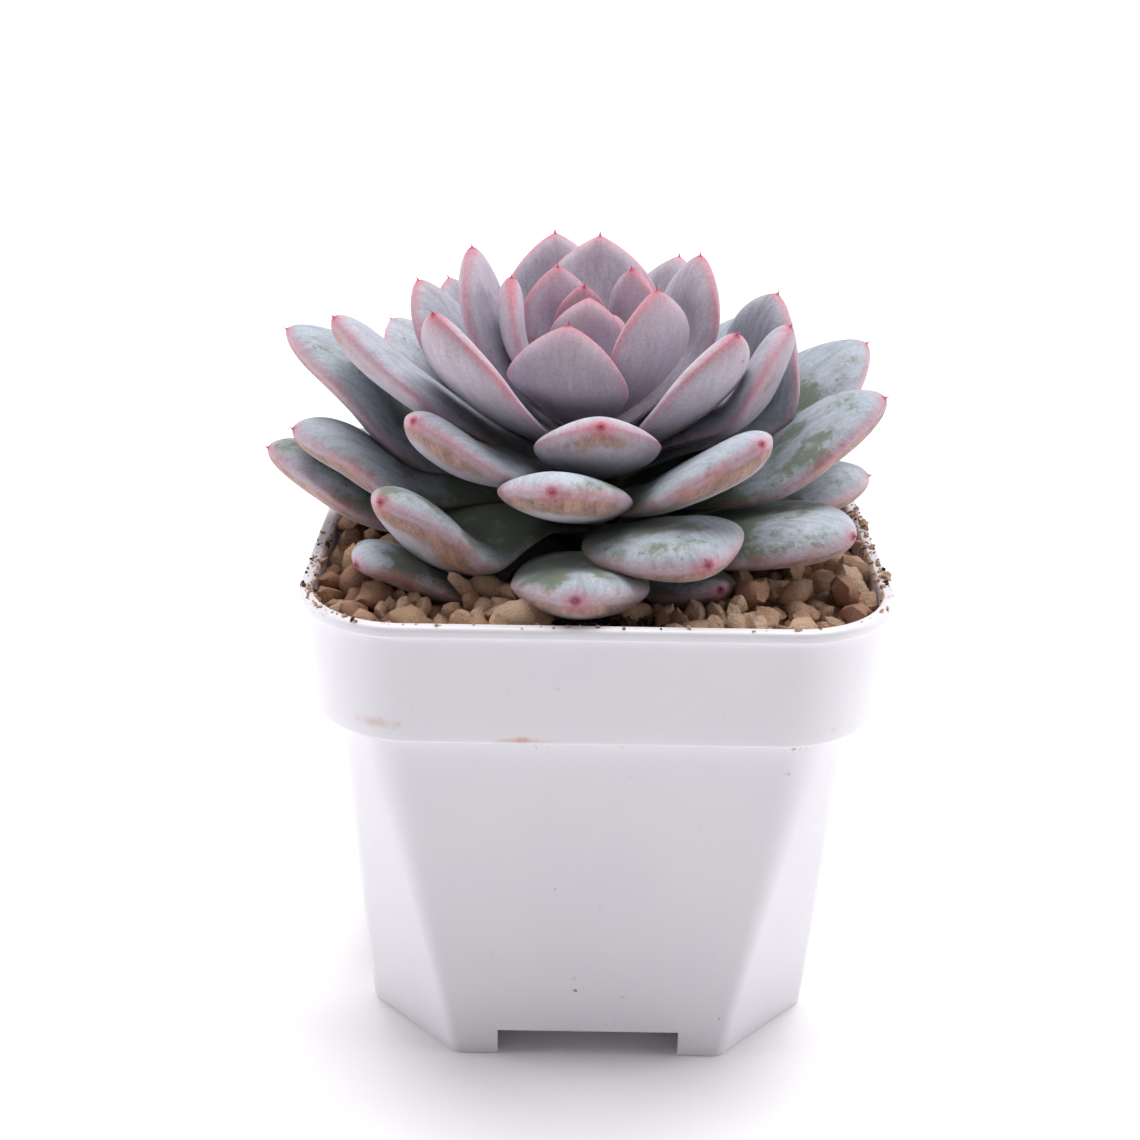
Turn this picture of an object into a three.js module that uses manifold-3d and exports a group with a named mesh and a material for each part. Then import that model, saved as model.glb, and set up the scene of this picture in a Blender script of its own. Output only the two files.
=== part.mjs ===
// A rosette succulent in a square moulded nursery pot, topped with baked-clay grit.
// Millimetres, +Z up. The pot stands on z = 0, and the front of the plant faces -Y.
import * as THREE from 'three';
import { mergeVertices } from 'three/addons/utils/BufferGeometryUtils.js';
import Module from 'manifold-3d';

const wasm = await Module();
wasm.setup();

// ---------------------------------------------------------------- driving sizes

const CLEARANCE = 0.3; // between pieces that rest against each other

const POT_HEIGHT = 79.6;
const POT_WALL = 1.3;
const LIP_HALF = 44.3; // half the width across the rolled lip
const LIP_THICK = 2.2;
const LIP_HEIGHT = 1.8;
const BAND_BOTTOM = 60.4; // where the rim band steps out from the body
const BAND_HALF_TOP = 43.5;
const BAND_HALF_BOTTOM = 43;
const BAND_CORNER = 16.5; // corner radius of the rim band
const BAND_EDGE = 0.8; // bevel along the band's lower edge
const SHOULDER = 0.9; // height over which the inside widens from the body to the band
const LIP_COVE = 0.4; // height over which the band runs out into the lip
const BODY_HALF_TOP = 38.9;
const BODY_HALF_BOTTOM = 36.2;
const CHAMFER_TOP = 6.6; // leg of the corner facet under the band
const CHAMFER_BOTTOM = 14.8; // and at the feet
const FACET_EASE = 3.2; // radius of the facet's edges at the feet
const FACET_EASE_TOP = 11.2; // and under the band, where the facet has turned into a round corner
const FOOT_HEIGHT = 4.8;
const FOOT_GAP_HALF = 14.6; // half the width of the cut-out between two feet
const FLOOR_THICK = 1.6;
const DRAIN_RADIUS = 4;
const DRAIN_SPREAD = 18; // from the middle hole to each of the outer ones

const LIP_LEVEL = 79.6; // the lip's height that the heights of mix, grit, stem and leaves are given for
const LIFT = POT_HEIGHT - LIP_LEVEL; // they all go up or down with the lip
const SOIL_TOP = 69.2 + LIFT; // level of the potting mix at the pot's wall
const SOIL_CROWN = 5; // how much higher it is heaped round the stem
const GRIT_TOP = 74.7 + LIFT; // general level of the grit between its stones

const STEM_FOOT = 58 + LIFT; // the cut end of the stem, down in the mix
const STEM_TOP = 100.6 + LIFT;
const STEM_RADIUS_FOOT = 3.6;
const STEM_RADIUS_TOP = 1.3;
const PLACE = [3.8, 0]; // the pot's middle, with the origin under the middle of the whole plant
const STEM_AT = [-1.0, 0.0]; // the plant was set a little to one side of the pot

const LEAF_BASE_LOW = 71 + LIFT; // height of the oldest leaf's joint on the stem
const LEAF_BASE_HIGH = 101 + LIFT; // and of the youngest's
const LEAF_THICK = 7.3; // of a full-grown leaf
const LEAF_THICK_YOUNG = 3.2;
const POINT_LENGTH = 1.4; // the small hard point at a leaf's tip

// ---------------------------------------------------------------- closed surfaces

// A closed surface through equal-length rings of points, with a flat or pointed cap at each end.
function loft(rings, firstPole, lastPole) {
  const count = rings[0].length;
  const points = [...rings.flat(), firstPole, lastPole];
  const first = points.length - 2;
  const last = points.length - 1;
  const faces = [];
  for (let k = 0; k + 1 < rings.length; k++) {
    for (let i = 0; i < count; i++) {
      const j = (i + 1) % count;
      const [a, b] = [k * count + i, k * count + j];
      faces.push(a, b, b + count, a, b + count, a + count);
    }
  }
  const end = (rings.length - 1) * count;
  for (let i = 0; i < count; i++) {
    const j = (i + 1) % count;
    faces.push(first, j, i, last, end + i, end + j);
  }
  const geometry = new THREE.BufferGeometry().setFromPoints(points);
  return geometry.setIndex(faces);
}

const middle = (ring) => ring.reduce((sum, p) => sum.add(p), new THREE.Vector3()).divideScalar(ring.length);

const stack = (rings) => loft(rings, middle(rings[0]), middle(rings[rings.length - 1]));

function solid(geometry, matrix = new THREE.Matrix4()) {
  const bare = new THREE.BufferGeometry().setAttribute('position', geometry.getAttribute('position').clone());
  if (geometry.index) bare.setIndex(geometry.index);
  const merged = mergeVertices(bare.applyMatrix4(matrix), 1e-4);
  return new wasm.Manifold(
    new wasm.Mesh({
      numProp: 3,
      vertProperties: merged.attributes.position.array,
      triVerts: new Uint32Array(merged.index.array),
    }),
  );
}

function geometryOf(manifold) {
  const mesh = manifold.getMesh();
  const geometry = new THREE.BufferGeometry();
  geometry.setAttribute('position', new THREE.BufferAttribute(mesh.vertProperties, 3));
  return geometry.setIndex(new THREE.BufferAttribute(mesh.triVerts, 1));
}

// ---------------------------------------------------------------- pot

const CORNER_STEPS = 3; // steps in each half of a corner

// A square outline of half width `half` whose corners are cut by a facet of leg `leg`, eased at both
// ends by `ease`. With the largest ease that fits, the corner is a plain quarter round.
function squareRing(half, leg, ease, z) {
  const fits = (0.98 * leg * Math.SQRT1_2) / Math.tan(Math.PI / 8);
  const radius = Math.min(ease, fits);
  const inset = radius * Math.tan(Math.PI / 8);
  const ring = [];
  for (let corner = 0; corner < 4; corner++) {
    const spin = (corner * Math.PI) / 2;
    for (const [centreX, centreY, from] of [
      [half - radius, half - leg - inset, 0],
      [half - leg - inset, half - radius, Math.PI / 4],
    ]) {
      for (let step = 0; step <= CORNER_STEPS; step++) {
        const angle = from + (step / CORNER_STEPS) * (Math.PI / 4);
        const x = centreX + radius * Math.cos(angle);
        const y = centreY + radius * Math.sin(angle);
        ring.push(new THREE.Vector3(x, y, z).applyAxisAngle(new THREE.Vector3(0, 0, 1), spin));
      }
    }
  }
  return ring;
}

// The body's outline at a height, taken in by `inset` on every side.
function bodyRing(z, inset = 0) {
  const share = THREE.MathUtils.clamp(z / BAND_BOTTOM, 0, 1);
  const half = THREE.MathUtils.lerp(BODY_HALF_BOTTOM, BODY_HALF_TOP, share) - inset;
  const leg = THREE.MathUtils.lerp(CHAMFER_BOTTOM, CHAMFER_TOP, share) - inset * (2 - Math.SQRT2);
  const ease = THREE.MathUtils.lerp(FACET_EASE, FACET_EASE_TOP, share * share) - inset;
  return squareRing(half, leg, Math.max(ease, 1), z);
}

// The rim band's outline: a square with quarter-round corners.
function bandRing(half, z, inset = 0) {
  const radius = BAND_CORNER - inset;
  return squareRing(half - inset, radius * (1 - Math.SQRT1_2) * 2, radius, z);
}

const bandHalf = (z) =>
  THREE.MathUtils.mapLinear(z, BAND_BOTTOM, POT_HEIGHT - LIP_HEIGHT, BAND_HALF_BOTTOM, BAND_HALF_TOP);

// The room inside the pot, from its floor up to `top`, under the lip, shrunk by `gap`.
function potInside(top, gap = 0) {
  const wall = POT_WALL + gap;
  const floor = FOOT_HEIGHT + FLOOR_THICK + gap;
  const step = BAND_BOTTOM + POT_WALL;
  if (top < step + gap + SHOULDER) return stack([bodyRing(floor, wall), bodyRing(top, wall)]);
  const rings = [bodyRing(floor, wall), bodyRing(step + gap, wall)];
  rings.push(bandRing(bandHalf(step), step + gap + SHOULDER, wall));
  rings.push(bandRing(bandHalf(top), top, wall));
  return stack(rings);
}

function potGeometry() {
  const lipFoot = POT_HEIGHT - LIP_HEIGHT;
  const lipEdge = LIP_THICK / 3;
  const outside = [
    bodyRing(0),
    bodyRing(FOOT_HEIGHT),
    bodyRing(BAND_BOTTOM / 3),
    bodyRing((2 * BAND_BOTTOM) / 3),
    bodyRing(BAND_BOTTOM),
    bandRing(BAND_HALF_BOTTOM - BAND_EDGE, BAND_BOTTOM),
    bandRing(BAND_HALF_BOTTOM, BAND_BOTTOM + BAND_EDGE),
    bandRing(BAND_HALF_TOP, lipFoot - LIP_COVE),
    bandRing(LIP_HALF, lipFoot),
    bandRing(LIP_HALF, POT_HEIGHT - lipEdge),
    bandRing(LIP_HALF, POT_HEIGHT, lipEdge),
  ];
  const inside = stack([
    bodyRing(FOOT_HEIGHT + FLOOR_THICK, POT_WALL),
    bodyRing(BAND_BOTTOM + POT_WALL, POT_WALL),
    bandRing(bandHalf(BAND_BOTTOM + POT_WALL), BAND_BOTTOM + POT_WALL + SHOULDER, POT_WALL),
    bandRing(BAND_HALF_TOP, lipFoot, POT_WALL),
    bandRing(LIP_HALF, POT_HEIGHT - lipEdge, LIP_THICK),
    bandRing(LIP_HALF, POT_HEIGHT + 1, LIP_THICK - lipEdge),
  ]);
  const under = stack([bodyRing(-1, POT_WALL), bodyRing(FOOT_HEIGHT, POT_WALL)]);
  let pot = solid(stack(outside)).subtract(solid(inside)).subtract(solid(under));
  const gap = new THREE.BoxGeometry(2 * FOOT_GAP_HALF, 4 * BODY_HALF_TOP, 2 * FOOT_HEIGHT);
  for (const turn of [0, Math.PI / 2]) {
    pot = pot.subtract(solid(gap, new THREE.Matrix4().makeRotationZ(turn)));
  }
  const drain = new THREE.CylinderGeometry(DRAIN_RADIUS, DRAIN_RADIUS, 4 * FLOOR_THICK, 12);
  drain.rotateX(Math.PI / 2).translate(0, 0, FOOT_HEIGHT);
  const spots = [[0, 0]];
  for (let k = 0; k < 4; k++) {
    const angle = ((2 * k + 1) * Math.PI) / 4;
    spots.push([DRAIN_SPREAD * Math.cos(angle), DRAIN_SPREAD * Math.sin(angle)]);
  }
  for (const [x, y] of spots) {
    pot = pot.subtract(solid(drain, new THREE.Matrix4().makeTranslation(x, y, 0)));
  }
  return geometryOf(pot);
}

// ---------------------------------------------------------------- leaves

// Oldest leaf first. turn: degrees round the stem from the front, towards the right; reach: from
// the stem's axis to the tip; rise: height of the tip; width; bow: how far the midrib sags under the
// line from joint to tip, as a share of that line; roll: degrees it is turned about its midrib;
// plump: its thickness, as a share of the usual one.
const LEAVES = [
  // skirt, lying on the grit and the rim
  { turn: 32, reach: 36.5, rise: 81.8, width: 16, bow: -0.02, plump: 0.7 },
  { turn: 168, reach: 40, rise: 82, width: 18, bow: 0.02 },
  { turn: -146, reach: 42, rise: 84, width: 18, bow: 0.02 },
  { turn: -3, reach: 44.5, rise: 84.2, width: 20.5, bow: 0 },
  { turn: 126, reach: 45, rise: 85, width: 19, bow: 0.02 },
  { turn: -51, reach: 45.5, rise: 82.6, width: 20, bow: -0.06, roll: -6, plump: 0.75 },
  { turn: -112, reach: 45, rise: 88, width: 18, bow: 0 },
  // lower whorl
  { turn: 91, reach: 46, rise: 87.5, width: 20, bow: 0.03 },
  { turn: -176, reach: 46, rise: 89, width: 20, bow: 0.03 },
  { turn: 55, reach: 48, rise: 87.8, width: 22, bow: 0.02, roll: 8 },
  { turn: -84, reach: 52, rise: 93, width: 20, bow: 0.02 },
  { turn: 23, reach: 43, rise: 87.7, width: 23, bow: 0, roll: 6 },
  { turn: -46, reach: 43.5, rise: 93.3, width: 22, bow: 0, roll: -3 },
  { turn: 145, reach: 48, rise: 95, width: 20, bow: 0.02 },
  { turn: -128, reach: 48, rise: 97, width: 20, bow: 0.01 },
  // middle whorl
  { turn: -9, reach: 38, rise: 97.9, width: 20, bow: 0.02 },
  { turn: 108, reach: 48.5, rise: 106, width: 23, bow: 0.05, roll: 8 },
  { turn: -77, reach: 48, rise: 97.8, width: 21, bow: 0.02 },
  { turn: 76, reach: 46.5, rise: 104.5, width: 24, bow: 0.06, roll: 10 },
  { turn: 38, reach: 39.5, rise: 103.5, width: 21, bow: 0.06, roll: 14 },
  { turn: -157, reach: 45, rise: 101, width: 20, bow: 0.06 },
  { turn: 168, reach: 44, rise: 105, width: 20, bow: 0.06 },
  { turn: -92, reach: 49, rise: 110.3, width: 22, bow: 0.02, roll: -3 },
  { turn: 135, reach: 41, rise: 107, width: 20, bow: 0.07 },
  { turn: -48, reach: 36, rise: 104, width: 21, bow: 0.03, roll: -5 },
  { turn: -126, reach: 43, rise: 106.2, width: 20, bow: 0.07 },
  // upper whorl
  { turn: 107, reach: 31, rise: 116, width: 23, bow: 0.09, roll: 14 },
  { turn: 2, reach: 29, rise: 105, width: 19, bow: 0.05 },
  { turn: -76, reach: 41, rise: 115.5, width: 21, bow: 0.07 },
  { turn: -134, reach: 34, rise: 114.3, width: 18, bow: 0.1 },
  { turn: 78, reach: 31, rise: 114.5, width: 20, bow: 0.09 },
  { turn: -178, reach: 35, rise: 115, width: 19, bow: 0.1 },
  { turn: -112, reach: 31, rise: 116.5, width: 19, bow: 0.11 },
  { turn: 50, reach: 27.5, rise: 116, width: 19, bow: 0.11 },
  { turn: 148, reach: 27.5, rise: 118.5, width: 18, bow: 0.12 },
  { turn: -50, reach: 31, rise: 119, width: 18.5, bow: 0.12 },
  // heart
  { turn: -165, reach: 25, rise: 122, width: 20, bow: 0.12 },
  { turn: 117, reach: 19, rise: 122, width: 18, bow: 0.14 },
  { turn: -105, reach: 20, rise: 123.5, width: 18, bow: 0.14 },
  { turn: -17, reach: 13, rise: 116, width: 19, bow: 0.15 },
  { turn: 177, reach: 20, rise: 122.5, width: 20, bow: 0.14 },
  { turn: 45, reach: 13, rise: 120.5, width: 17, bow: 0.16 },
  { turn: -85, reach: 12.8, rise: 120.3, width: 15, bow: 0.16 },
  { turn: 130, reach: 7.5, rise: 120.5, width: 12.5, bow: 0.16 },
  { turn: -145, reach: 10, rise: 120, width: 14, bow: 0.16 },
  { turn: -10, reach: 4, rise: 118, width: 12, bow: 0.18 },
  { turn: -160, reach: 4, rise: 117.8, width: 9, bow: 0.18 },
  { turn: 65, reach: 2.4, rise: 114.5, width: 7, bow: 0.16 },
  { turn: -75, reach: 2.2, rise: 112, width: 6, bow: 0.14 },
];

const SECTION_STEPS = 10; // points round a leaf
const STATIONS = [0, 0.13, 0.28, 0.44, 0.58, 0.7, 0.8, 0.88, 0.945, 0.98];
const WIDEST = 0.66; // share of the length where a leaf is widest
const FULLEST = 0.76; // and where it is thickest
const JOINT_WIDTH = 0.17; // width and thickness at the joint, as shares of the largest
const JOINT_THICK = 0.2;
const UPPER_SHARE = 0.52; // of the thickness lies on the upper side of the margins
const ARCH_BULGE = 1.9; // powers that shape the pointed arch at a leaf's end
const ARCH_CLOSE = 0.72;
const CUP = 0.05; // how far the margins stand up, as a share of the half width

// Half width along a leaf, as a share of the largest: a spoon that closes in a pointed arch.
function outline(u) {
  const swell = Math.sin((Math.PI / 2) * Math.min(u / WIDEST, 1)) ** 2;
  if (u <= WIDEST) return THREE.MathUtils.lerp(JOINT_WIDTH, 1, swell);
  return (1 - ((u - WIDEST) / (1 - WIDEST)) ** ARCH_BULGE) ** ARCH_CLOSE;
}

// Thickness along a leaf, as a share of the largest.
function fullness(u, point) {
  const swell = Math.sin((Math.PI / 2) * Math.min(u / FULLEST, 1)) ** 2.8;
  if (u <= FULLEST) return THREE.MathUtils.lerp(JOINT_THICK, 1, swell);
  const body = (1 - Math.min(1, (u - FULLEST) / (1 - point - FULLEST)) ** 2.8) ** 0.55;
  return Math.hypot(body, 0.12 * Math.min(1, (1 - u) / point));
}

// One leaf as rings of points about its midrib. sag: how far each ring is pressed down; grow: how
// much larger than true it is made on every side.
function leafGeometry(index, sag, grow = 0) {
  const leaf = LEAVES[index];
  const age = index / (LEAVES.length - 1);
  const angle = THREE.MathUtils.degToRad(leaf.turn);
  const out = new THREE.Vector3(Math.sin(angle), -Math.cos(angle), 0);
  const side = new THREE.Vector3(Math.cos(angle), Math.sin(angle), 0);
  const up = new THREE.Vector3(0, 0, 1);
  const height = THREE.MathUtils.lerp(LEAF_BASE_LOW, LEAF_BASE_HIGH, age);
  const joint = out.clone().multiplyScalar(stemRadius(height) + CLEARANCE).addScaledVector(up, height);
  const tip = out.clone().multiplyScalar(leaf.reach).addScaledVector(up, leaf.rise + LIFT);
  const line = tip.clone().sub(joint);
  const length = line.length();
  const along = line.clone().normalize();
  const over = along.clone().cross(side);
  const roll = THREE.MathUtils.degToRad(leaf.roll ?? 0);
  const point = POINT_LENGTH / length;
  const thick = THREE.MathUtils.lerp(LEAF_THICK, LEAF_THICK_YOUNG, age ** 2) * (leaf.plump ?? 1);
  const rings = STATIONS.map((u, k) => {
    const centre = joint.clone().addScaledVector(line, u);
    centre.addScaledVector(over, -4 * leaf.bow * length * u * (1 - u) - sag[k]);
    const slope = along.clone().addScaledVector(over, -4 * leaf.bow * (1 - 2 * u)).normalize();
    const across = side.clone().applyAxisAngle(slope, roll);
    const normal = slope.clone().cross(across);
    const half = (leaf.width / 2) * outline(u);
    const deep = thick * fullness(u, point);
    const ring = [];
    for (let i = 0; i < SECTION_STEPS; i++) {
      const v = (2 * Math.PI * i) / SECTION_STEPS;
      const share = Math.sin(v) > 0 ? UPPER_SHARE : 1 - UPPER_SHARE;
      const x = (half + grow) * Math.cos(v);
      const z = (deep * share + grow) * Math.sin(v) + (CUP * half * outline(u)) * Math.cos(v) ** 2;
      ring.push(centre.clone().addScaledVector(across, x).addScaledVector(normal, z));
    }
    return ring;
  });
  const end = tip.clone().addScaledVector(over, -sag[sag.length - 1]).addScaledVector(along, grow);
  return loft(rings, middle(rings[0]).addScaledVector(along, -grow), end);
}

// An older leaf bends down wherever a younger one lies on it. Working from the heart outwards, each
// leaf is pressed a little at a time, round the place where it still touches, until it is free.
const PRESS_STEP = 0.2;
const PRESS_SPREAD = 0.18; // share of the length over which one press dies away
const PRESS_ROUNDS = 60;

function pressLeaves() {
  const sags = [];
  const placed = [];
  for (let index = LEAVES.length - 1; index >= 0; index--) {
    const sag = STATIONS.map(() => 0);
    for (let round = 0; round < PRESS_ROUNDS; round++) {
      const geometry = leafGeometry(index, sag);
      const body = solid(geometry);
      const shared = placed.map((other) => body.intersect(other));
      const touches = shared.filter((part) => part.volume() > 0.001);
      if (touches.length === 0) break;
      for (const touch of touches) {
        const { min, max } = touch.boundingBox();
        const spot = middle([new THREE.Vector3().fromArray(min), new THREE.Vector3().fromArray(max)]);
        const at = nearestStation(geometry, spot);
        STATIONS.forEach((u, k) => {
          sag[k] += PRESS_STEP * Math.exp(-(((u - at) / PRESS_SPREAD) ** 2));
        });
      }
    }
    placed.push(solid(leafGeometry(index, sag, CLEARANCE / 2)));
    sags[index] = sag;
  }
  return sags;
}

// The station of the ring whose middle is nearest to a spot.
function nearestStation(geometry, spot) {
  const position = geometry.getAttribute('position');
  const corner = new THREE.Vector3();
  const distances = STATIONS.map((_, k) => {
    const ring = [];
    for (let i = 0; i < SECTION_STEPS; i++) {
      ring.push(corner.fromBufferAttribute(position, k * SECTION_STEPS + i).clone());
    }
    return middle(ring).distanceTo(spot);
  });
  return STATIONS[distances.indexOf(Math.min(...distances))];
}

function stemRadius(z) {
  const share = THREE.MathUtils.clamp((z - STEM_FOOT) / (STEM_TOP - STEM_FOOT), 0, 1);
  return THREE.MathUtils.lerp(STEM_RADIUS_FOOT, STEM_RADIUS_TOP, share);
}

// ---------------------------------------------------------------- soil, grit and stem

const GRIT_SPACING = 8; // between the stones modelled here
const GRIT_SIZE = 3.9; // about half a stone's length
const GRIT_FREE_RADIUS = 25; // no stones in this circle round the stem, where the leaves lie
const GRIT_JITTER = 2.4; // how far from its row and column a stone may lie
const GRIT_LENGTH = [1, 1.5]; // a stone's half length, width and height, as shares of its size
const GRIT_WIDTH = [0.8, 1.1];
const GRIT_HEIGHT = [0.8, 1];
const GRIT_LIFT = [0.1, 0.5]; // how far its middle is above the layer's level, as a share of its size
const GRIT_SEED = 7;

// The same run of numbers between 0 and 1 on every build.
function dice(seed) {
  let state = seed;
  return () => {
    state = (state * 16807) % 2147483647;
    return state / 2147483647;
  };
}

function largest(manifold) {
  return manifold.decompose().sort((a, b) => b.volume() - a.volume())[0];
}

function stemSolid(grow = 0) {
  const height = STEM_TOP - STEM_FOOT;
  const [top, foot] = [STEM_RADIUS_TOP + grow, STEM_RADIUS_FOOT + grow];
  const shaft = new THREE.CylinderGeometry(top, foot, height + 2 * grow, 16, 6);
  shaft.rotateX(Math.PI / 2);
  const at = new THREE.Matrix4().makeTranslation(STEM_AT[0], STEM_AT[1], (STEM_TOP + STEM_FOOT) / 2);
  return solid(shaft, at);
}

function soilSolid(grow = 0) {
  const heap = new THREE.ConeGeometry(BAND_HALF_TOP / 2 + grow, SOIL_CROWN + grow, 24);
  heap.rotateX(Math.PI / 2);
  const at = new THREE.Matrix4().makeTranslation(STEM_AT[0], STEM_AT[1], SOIL_TOP + SOIL_CROWN / 2 + grow);
  return solid(potInside(SOIL_TOP + grow, CLEARANCE - grow)).add(solid(heap, at));
}

function gritSolid() {
  const room = solid(potInside(POT_HEIGHT - LIP_HEIGHT, CLEARANCE));
  const lid = new THREE.BoxGeometry(3 * LIP_HALF, 3 * LIP_HALF, POT_HEIGHT);
  let grit = room.subtract(solid(lid, new THREE.Matrix4().makeTranslation(0, 0, GRIT_TOP + POT_HEIGHT / 2)));
  const chance = dice(GRIT_SEED);
  const reach = BAND_HALF_TOP - POT_WALL - 0.9 * GRIT_SIZE;
  const count = Math.round((2 * reach) / GRIT_SPACING);
  for (let row = 0; row <= count; row++) {
    for (let column = 0; column <= count; column++) {
      const x = THREE.MathUtils.lerp(-reach, reach, column / count) + (chance() - 0.5) * GRIT_JITTER;
      const y = THREE.MathUtils.lerp(-reach, reach, row / count) + (chance() - 0.5) * GRIT_JITTER;
      const turn = new THREE.Euler(...[1, 1, 1].map(() => 2 * Math.PI * chance()));
      const spans = [GRIT_LENGTH, GRIT_WIDTH, GRIT_HEIGHT];
      const shares = spans.map(([low, high]) => THREE.MathUtils.lerp(low, high, chance()));
      const size = new THREE.Vector3(...shares);
      const lift = GRIT_TOP + GRIT_SIZE * THREE.MathUtils.lerp(GRIT_LIFT[0], GRIT_LIFT[1], chance());
      if (Math.hypot(x, y) < GRIT_FREE_RADIUS) continue;
      const stone = new THREE.OctahedronGeometry(GRIT_SIZE);
      const place = new THREE.Matrix4().compose(
        new THREE.Vector3(x, y, lift),
        new THREE.Quaternion().setFromEuler(turn),
        size,
      );
      grit = grit.add(solid(stone, place).intersect(mouth()));
    }
  }
  return grit;
}

// The room inside the rim band, up to above the lip, that loose stones must stay in.
function mouth() {
  const half = BAND_HALF_TOP - LIP_THICK;
  return solid(stack([bandRing(half, SOIL_TOP, CLEARANCE), bandRing(half, POT_HEIGHT + 10, CLEARANCE)]));
}

// ---------------------------------------------------------------- the whole plant

const white = new THREE.MeshStandardMaterial({ color: 0xf1eff2, roughness: 0.45, metalness: 0 });
const mix = new THREE.MeshStandardMaterial({ color: 0x2a2019, roughness: 0.95, metalness: 0 });
const clay = new THREE.MeshStandardMaterial({ color: 0xb98e63, roughness: 0.9, metalness: 0 });
const bark = new THREE.MeshStandardMaterial({ color: 0x8a8468, roughness: 0.8, metalness: 0 });
const leafGreen = new THREE.MeshStandardMaterial({ color: 0xa9b3b6, roughness: 0.6, metalness: 0 });

function piece(name, geometry, material) {
  const mesh = new THREE.Mesh(geometry, material);
  mesh.name = name;
  geometry.computeVertexNormals();
  return mesh;
}

const sags = pressLeaves();
const leafAt = new THREE.Matrix4().makeTranslation(STEM_AT[0], STEM_AT[1], 0);
const leafRoom = LEAVES.map((_, index) => solid(leafGeometry(index, sags[index], CLEARANCE), leafAt));

// What is left of a solid once every leaf has its place.
function clearOfLeaves(manifold) {
  return largest(leafRoom.reduce((rest, room) => rest.subtract(room), manifold));
}

const plant = new THREE.Group();
plant.position.set(PLACE[0], PLACE[1], 0);
plant.add(piece('pot', potGeometry(), white));
plant.add(piece('soil', geometryOf(clearOfLeaves(soilSolid().subtract(stemSolid(CLEARANCE)))), mix));
const grit = gritSolid().subtract(soilSolid(CLEARANCE)).subtract(stemSolid(CLEARANCE));
plant.add(piece('grit_layer', geometryOf(clearOfLeaves(grit)), clay));
plant.add(piece('stem', geometryOf(clearOfLeaves(stemSolid())), bark));

const rosette = new THREE.Group();
rosette.position.set(STEM_AT[0], STEM_AT[1], 0);
LEAVES.forEach((_, index) => {
  const name = 'leaf_' + String(index + 1).padStart(2, '0');
  rosette.add(piece(name, leafGeometry(index, sags[index]), leafGreen));
});
plant.add(rosette);

export default plant;
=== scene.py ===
"""A rosette succulent with waxy blue-grey leaves, growing in a white square nursery pot that is
topped with baked-clay granules. Metres, +Z up, the front of the plant towards -Y."""
import math

import bmesh
import bpy
import numpy as np
from mathutils import Matrix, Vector
from mathutils.bvhtree import BVHTree


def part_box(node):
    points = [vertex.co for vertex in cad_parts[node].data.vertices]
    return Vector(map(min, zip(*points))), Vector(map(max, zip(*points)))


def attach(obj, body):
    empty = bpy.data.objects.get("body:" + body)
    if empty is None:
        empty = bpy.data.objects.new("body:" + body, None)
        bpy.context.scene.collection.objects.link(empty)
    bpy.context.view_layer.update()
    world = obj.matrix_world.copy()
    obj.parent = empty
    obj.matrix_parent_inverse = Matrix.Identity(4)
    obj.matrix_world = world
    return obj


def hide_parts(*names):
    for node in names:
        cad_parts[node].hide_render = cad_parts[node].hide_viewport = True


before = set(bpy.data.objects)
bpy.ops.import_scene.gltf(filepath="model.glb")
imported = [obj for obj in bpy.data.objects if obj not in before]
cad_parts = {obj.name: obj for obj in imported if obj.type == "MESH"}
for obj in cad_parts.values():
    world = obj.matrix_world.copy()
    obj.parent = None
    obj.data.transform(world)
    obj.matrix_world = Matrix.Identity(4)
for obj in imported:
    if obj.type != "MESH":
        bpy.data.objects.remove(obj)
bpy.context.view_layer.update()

# ---------------------------------------------------------------- camera
# A normal lens a little over arm's length away, looking down on the rosette at about 23 degrees and
# held a degree off level.

MM = 0.001
CAMERA_AT = np.array([-0.644, -259.923, 179.569]) * MM
CAMERA_DOWN = math.radians(22.831)
CAMERA_YAW = math.radians(0.085)
CAMERA_ROLL = math.radians(0.939)
CAMERA_LENS = 53.62  # mm, on a sensor 36 mm wide

ahead = np.array([
    math.sin(CAMERA_YAW) * math.cos(CAMERA_DOWN),
    math.cos(CAMERA_YAW) * math.cos(CAMERA_DOWN),
    -math.sin(CAMERA_DOWN),
])
level = np.array([math.cos(CAMERA_YAW), -math.sin(CAMERA_YAW), 0.0])
upright = np.cross(level, ahead)
camera_x = math.cos(CAMERA_ROLL) * level + math.sin(CAMERA_ROLL) * upright
camera_y = np.cross(-ahead, camera_x)
camera_lens = bpy.data.cameras.new("camera")
camera_lens.lens = CAMERA_LENS
camera_lens.sensor_width = 36
camera_lens.clip_start = 0.01
camera = bpy.data.objects.new("camera", camera_lens)
camera_turn = Matrix(np.column_stack([camera_x, camera_y, -ahead]).tolist()).to_4x4()
camera.matrix_world = Matrix.Translation(CAMERA_AT.tolist()) @ camera_turn
bpy.context.collection.objects.link(camera)
bpy.context.scene.camera = camera

# ---------------------------------------------------------------- floor and light
# A white table top in a white room. Broad soft light comes from above, behind and both sides, and
# the side towards the viewer is the least lit, so it turns a soft lilac grey.

FLOOR_HALF = 2.5
ROOM_FILL = 0.17  # how bright the room's walls are as a light
SKY_STRENGTH = 3.6
SKY_SPREAD = 54  # degrees; the wider, the softer the shadows
SIDE_POWER = 1.2


def linear(code):
    """An sRGB hex value as linear red, green and blue, with full alpha."""
    parts = np.array([int(code[k : k + 2], 16) for k in (1, 3, 5)]) / 255
    toe = parts / 12.92
    curve = ((parts + 0.055) / 1.055) ** 2.4
    return (*np.where(parts <= 0.04045, toe, curve).tolist(), 1.0)


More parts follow.
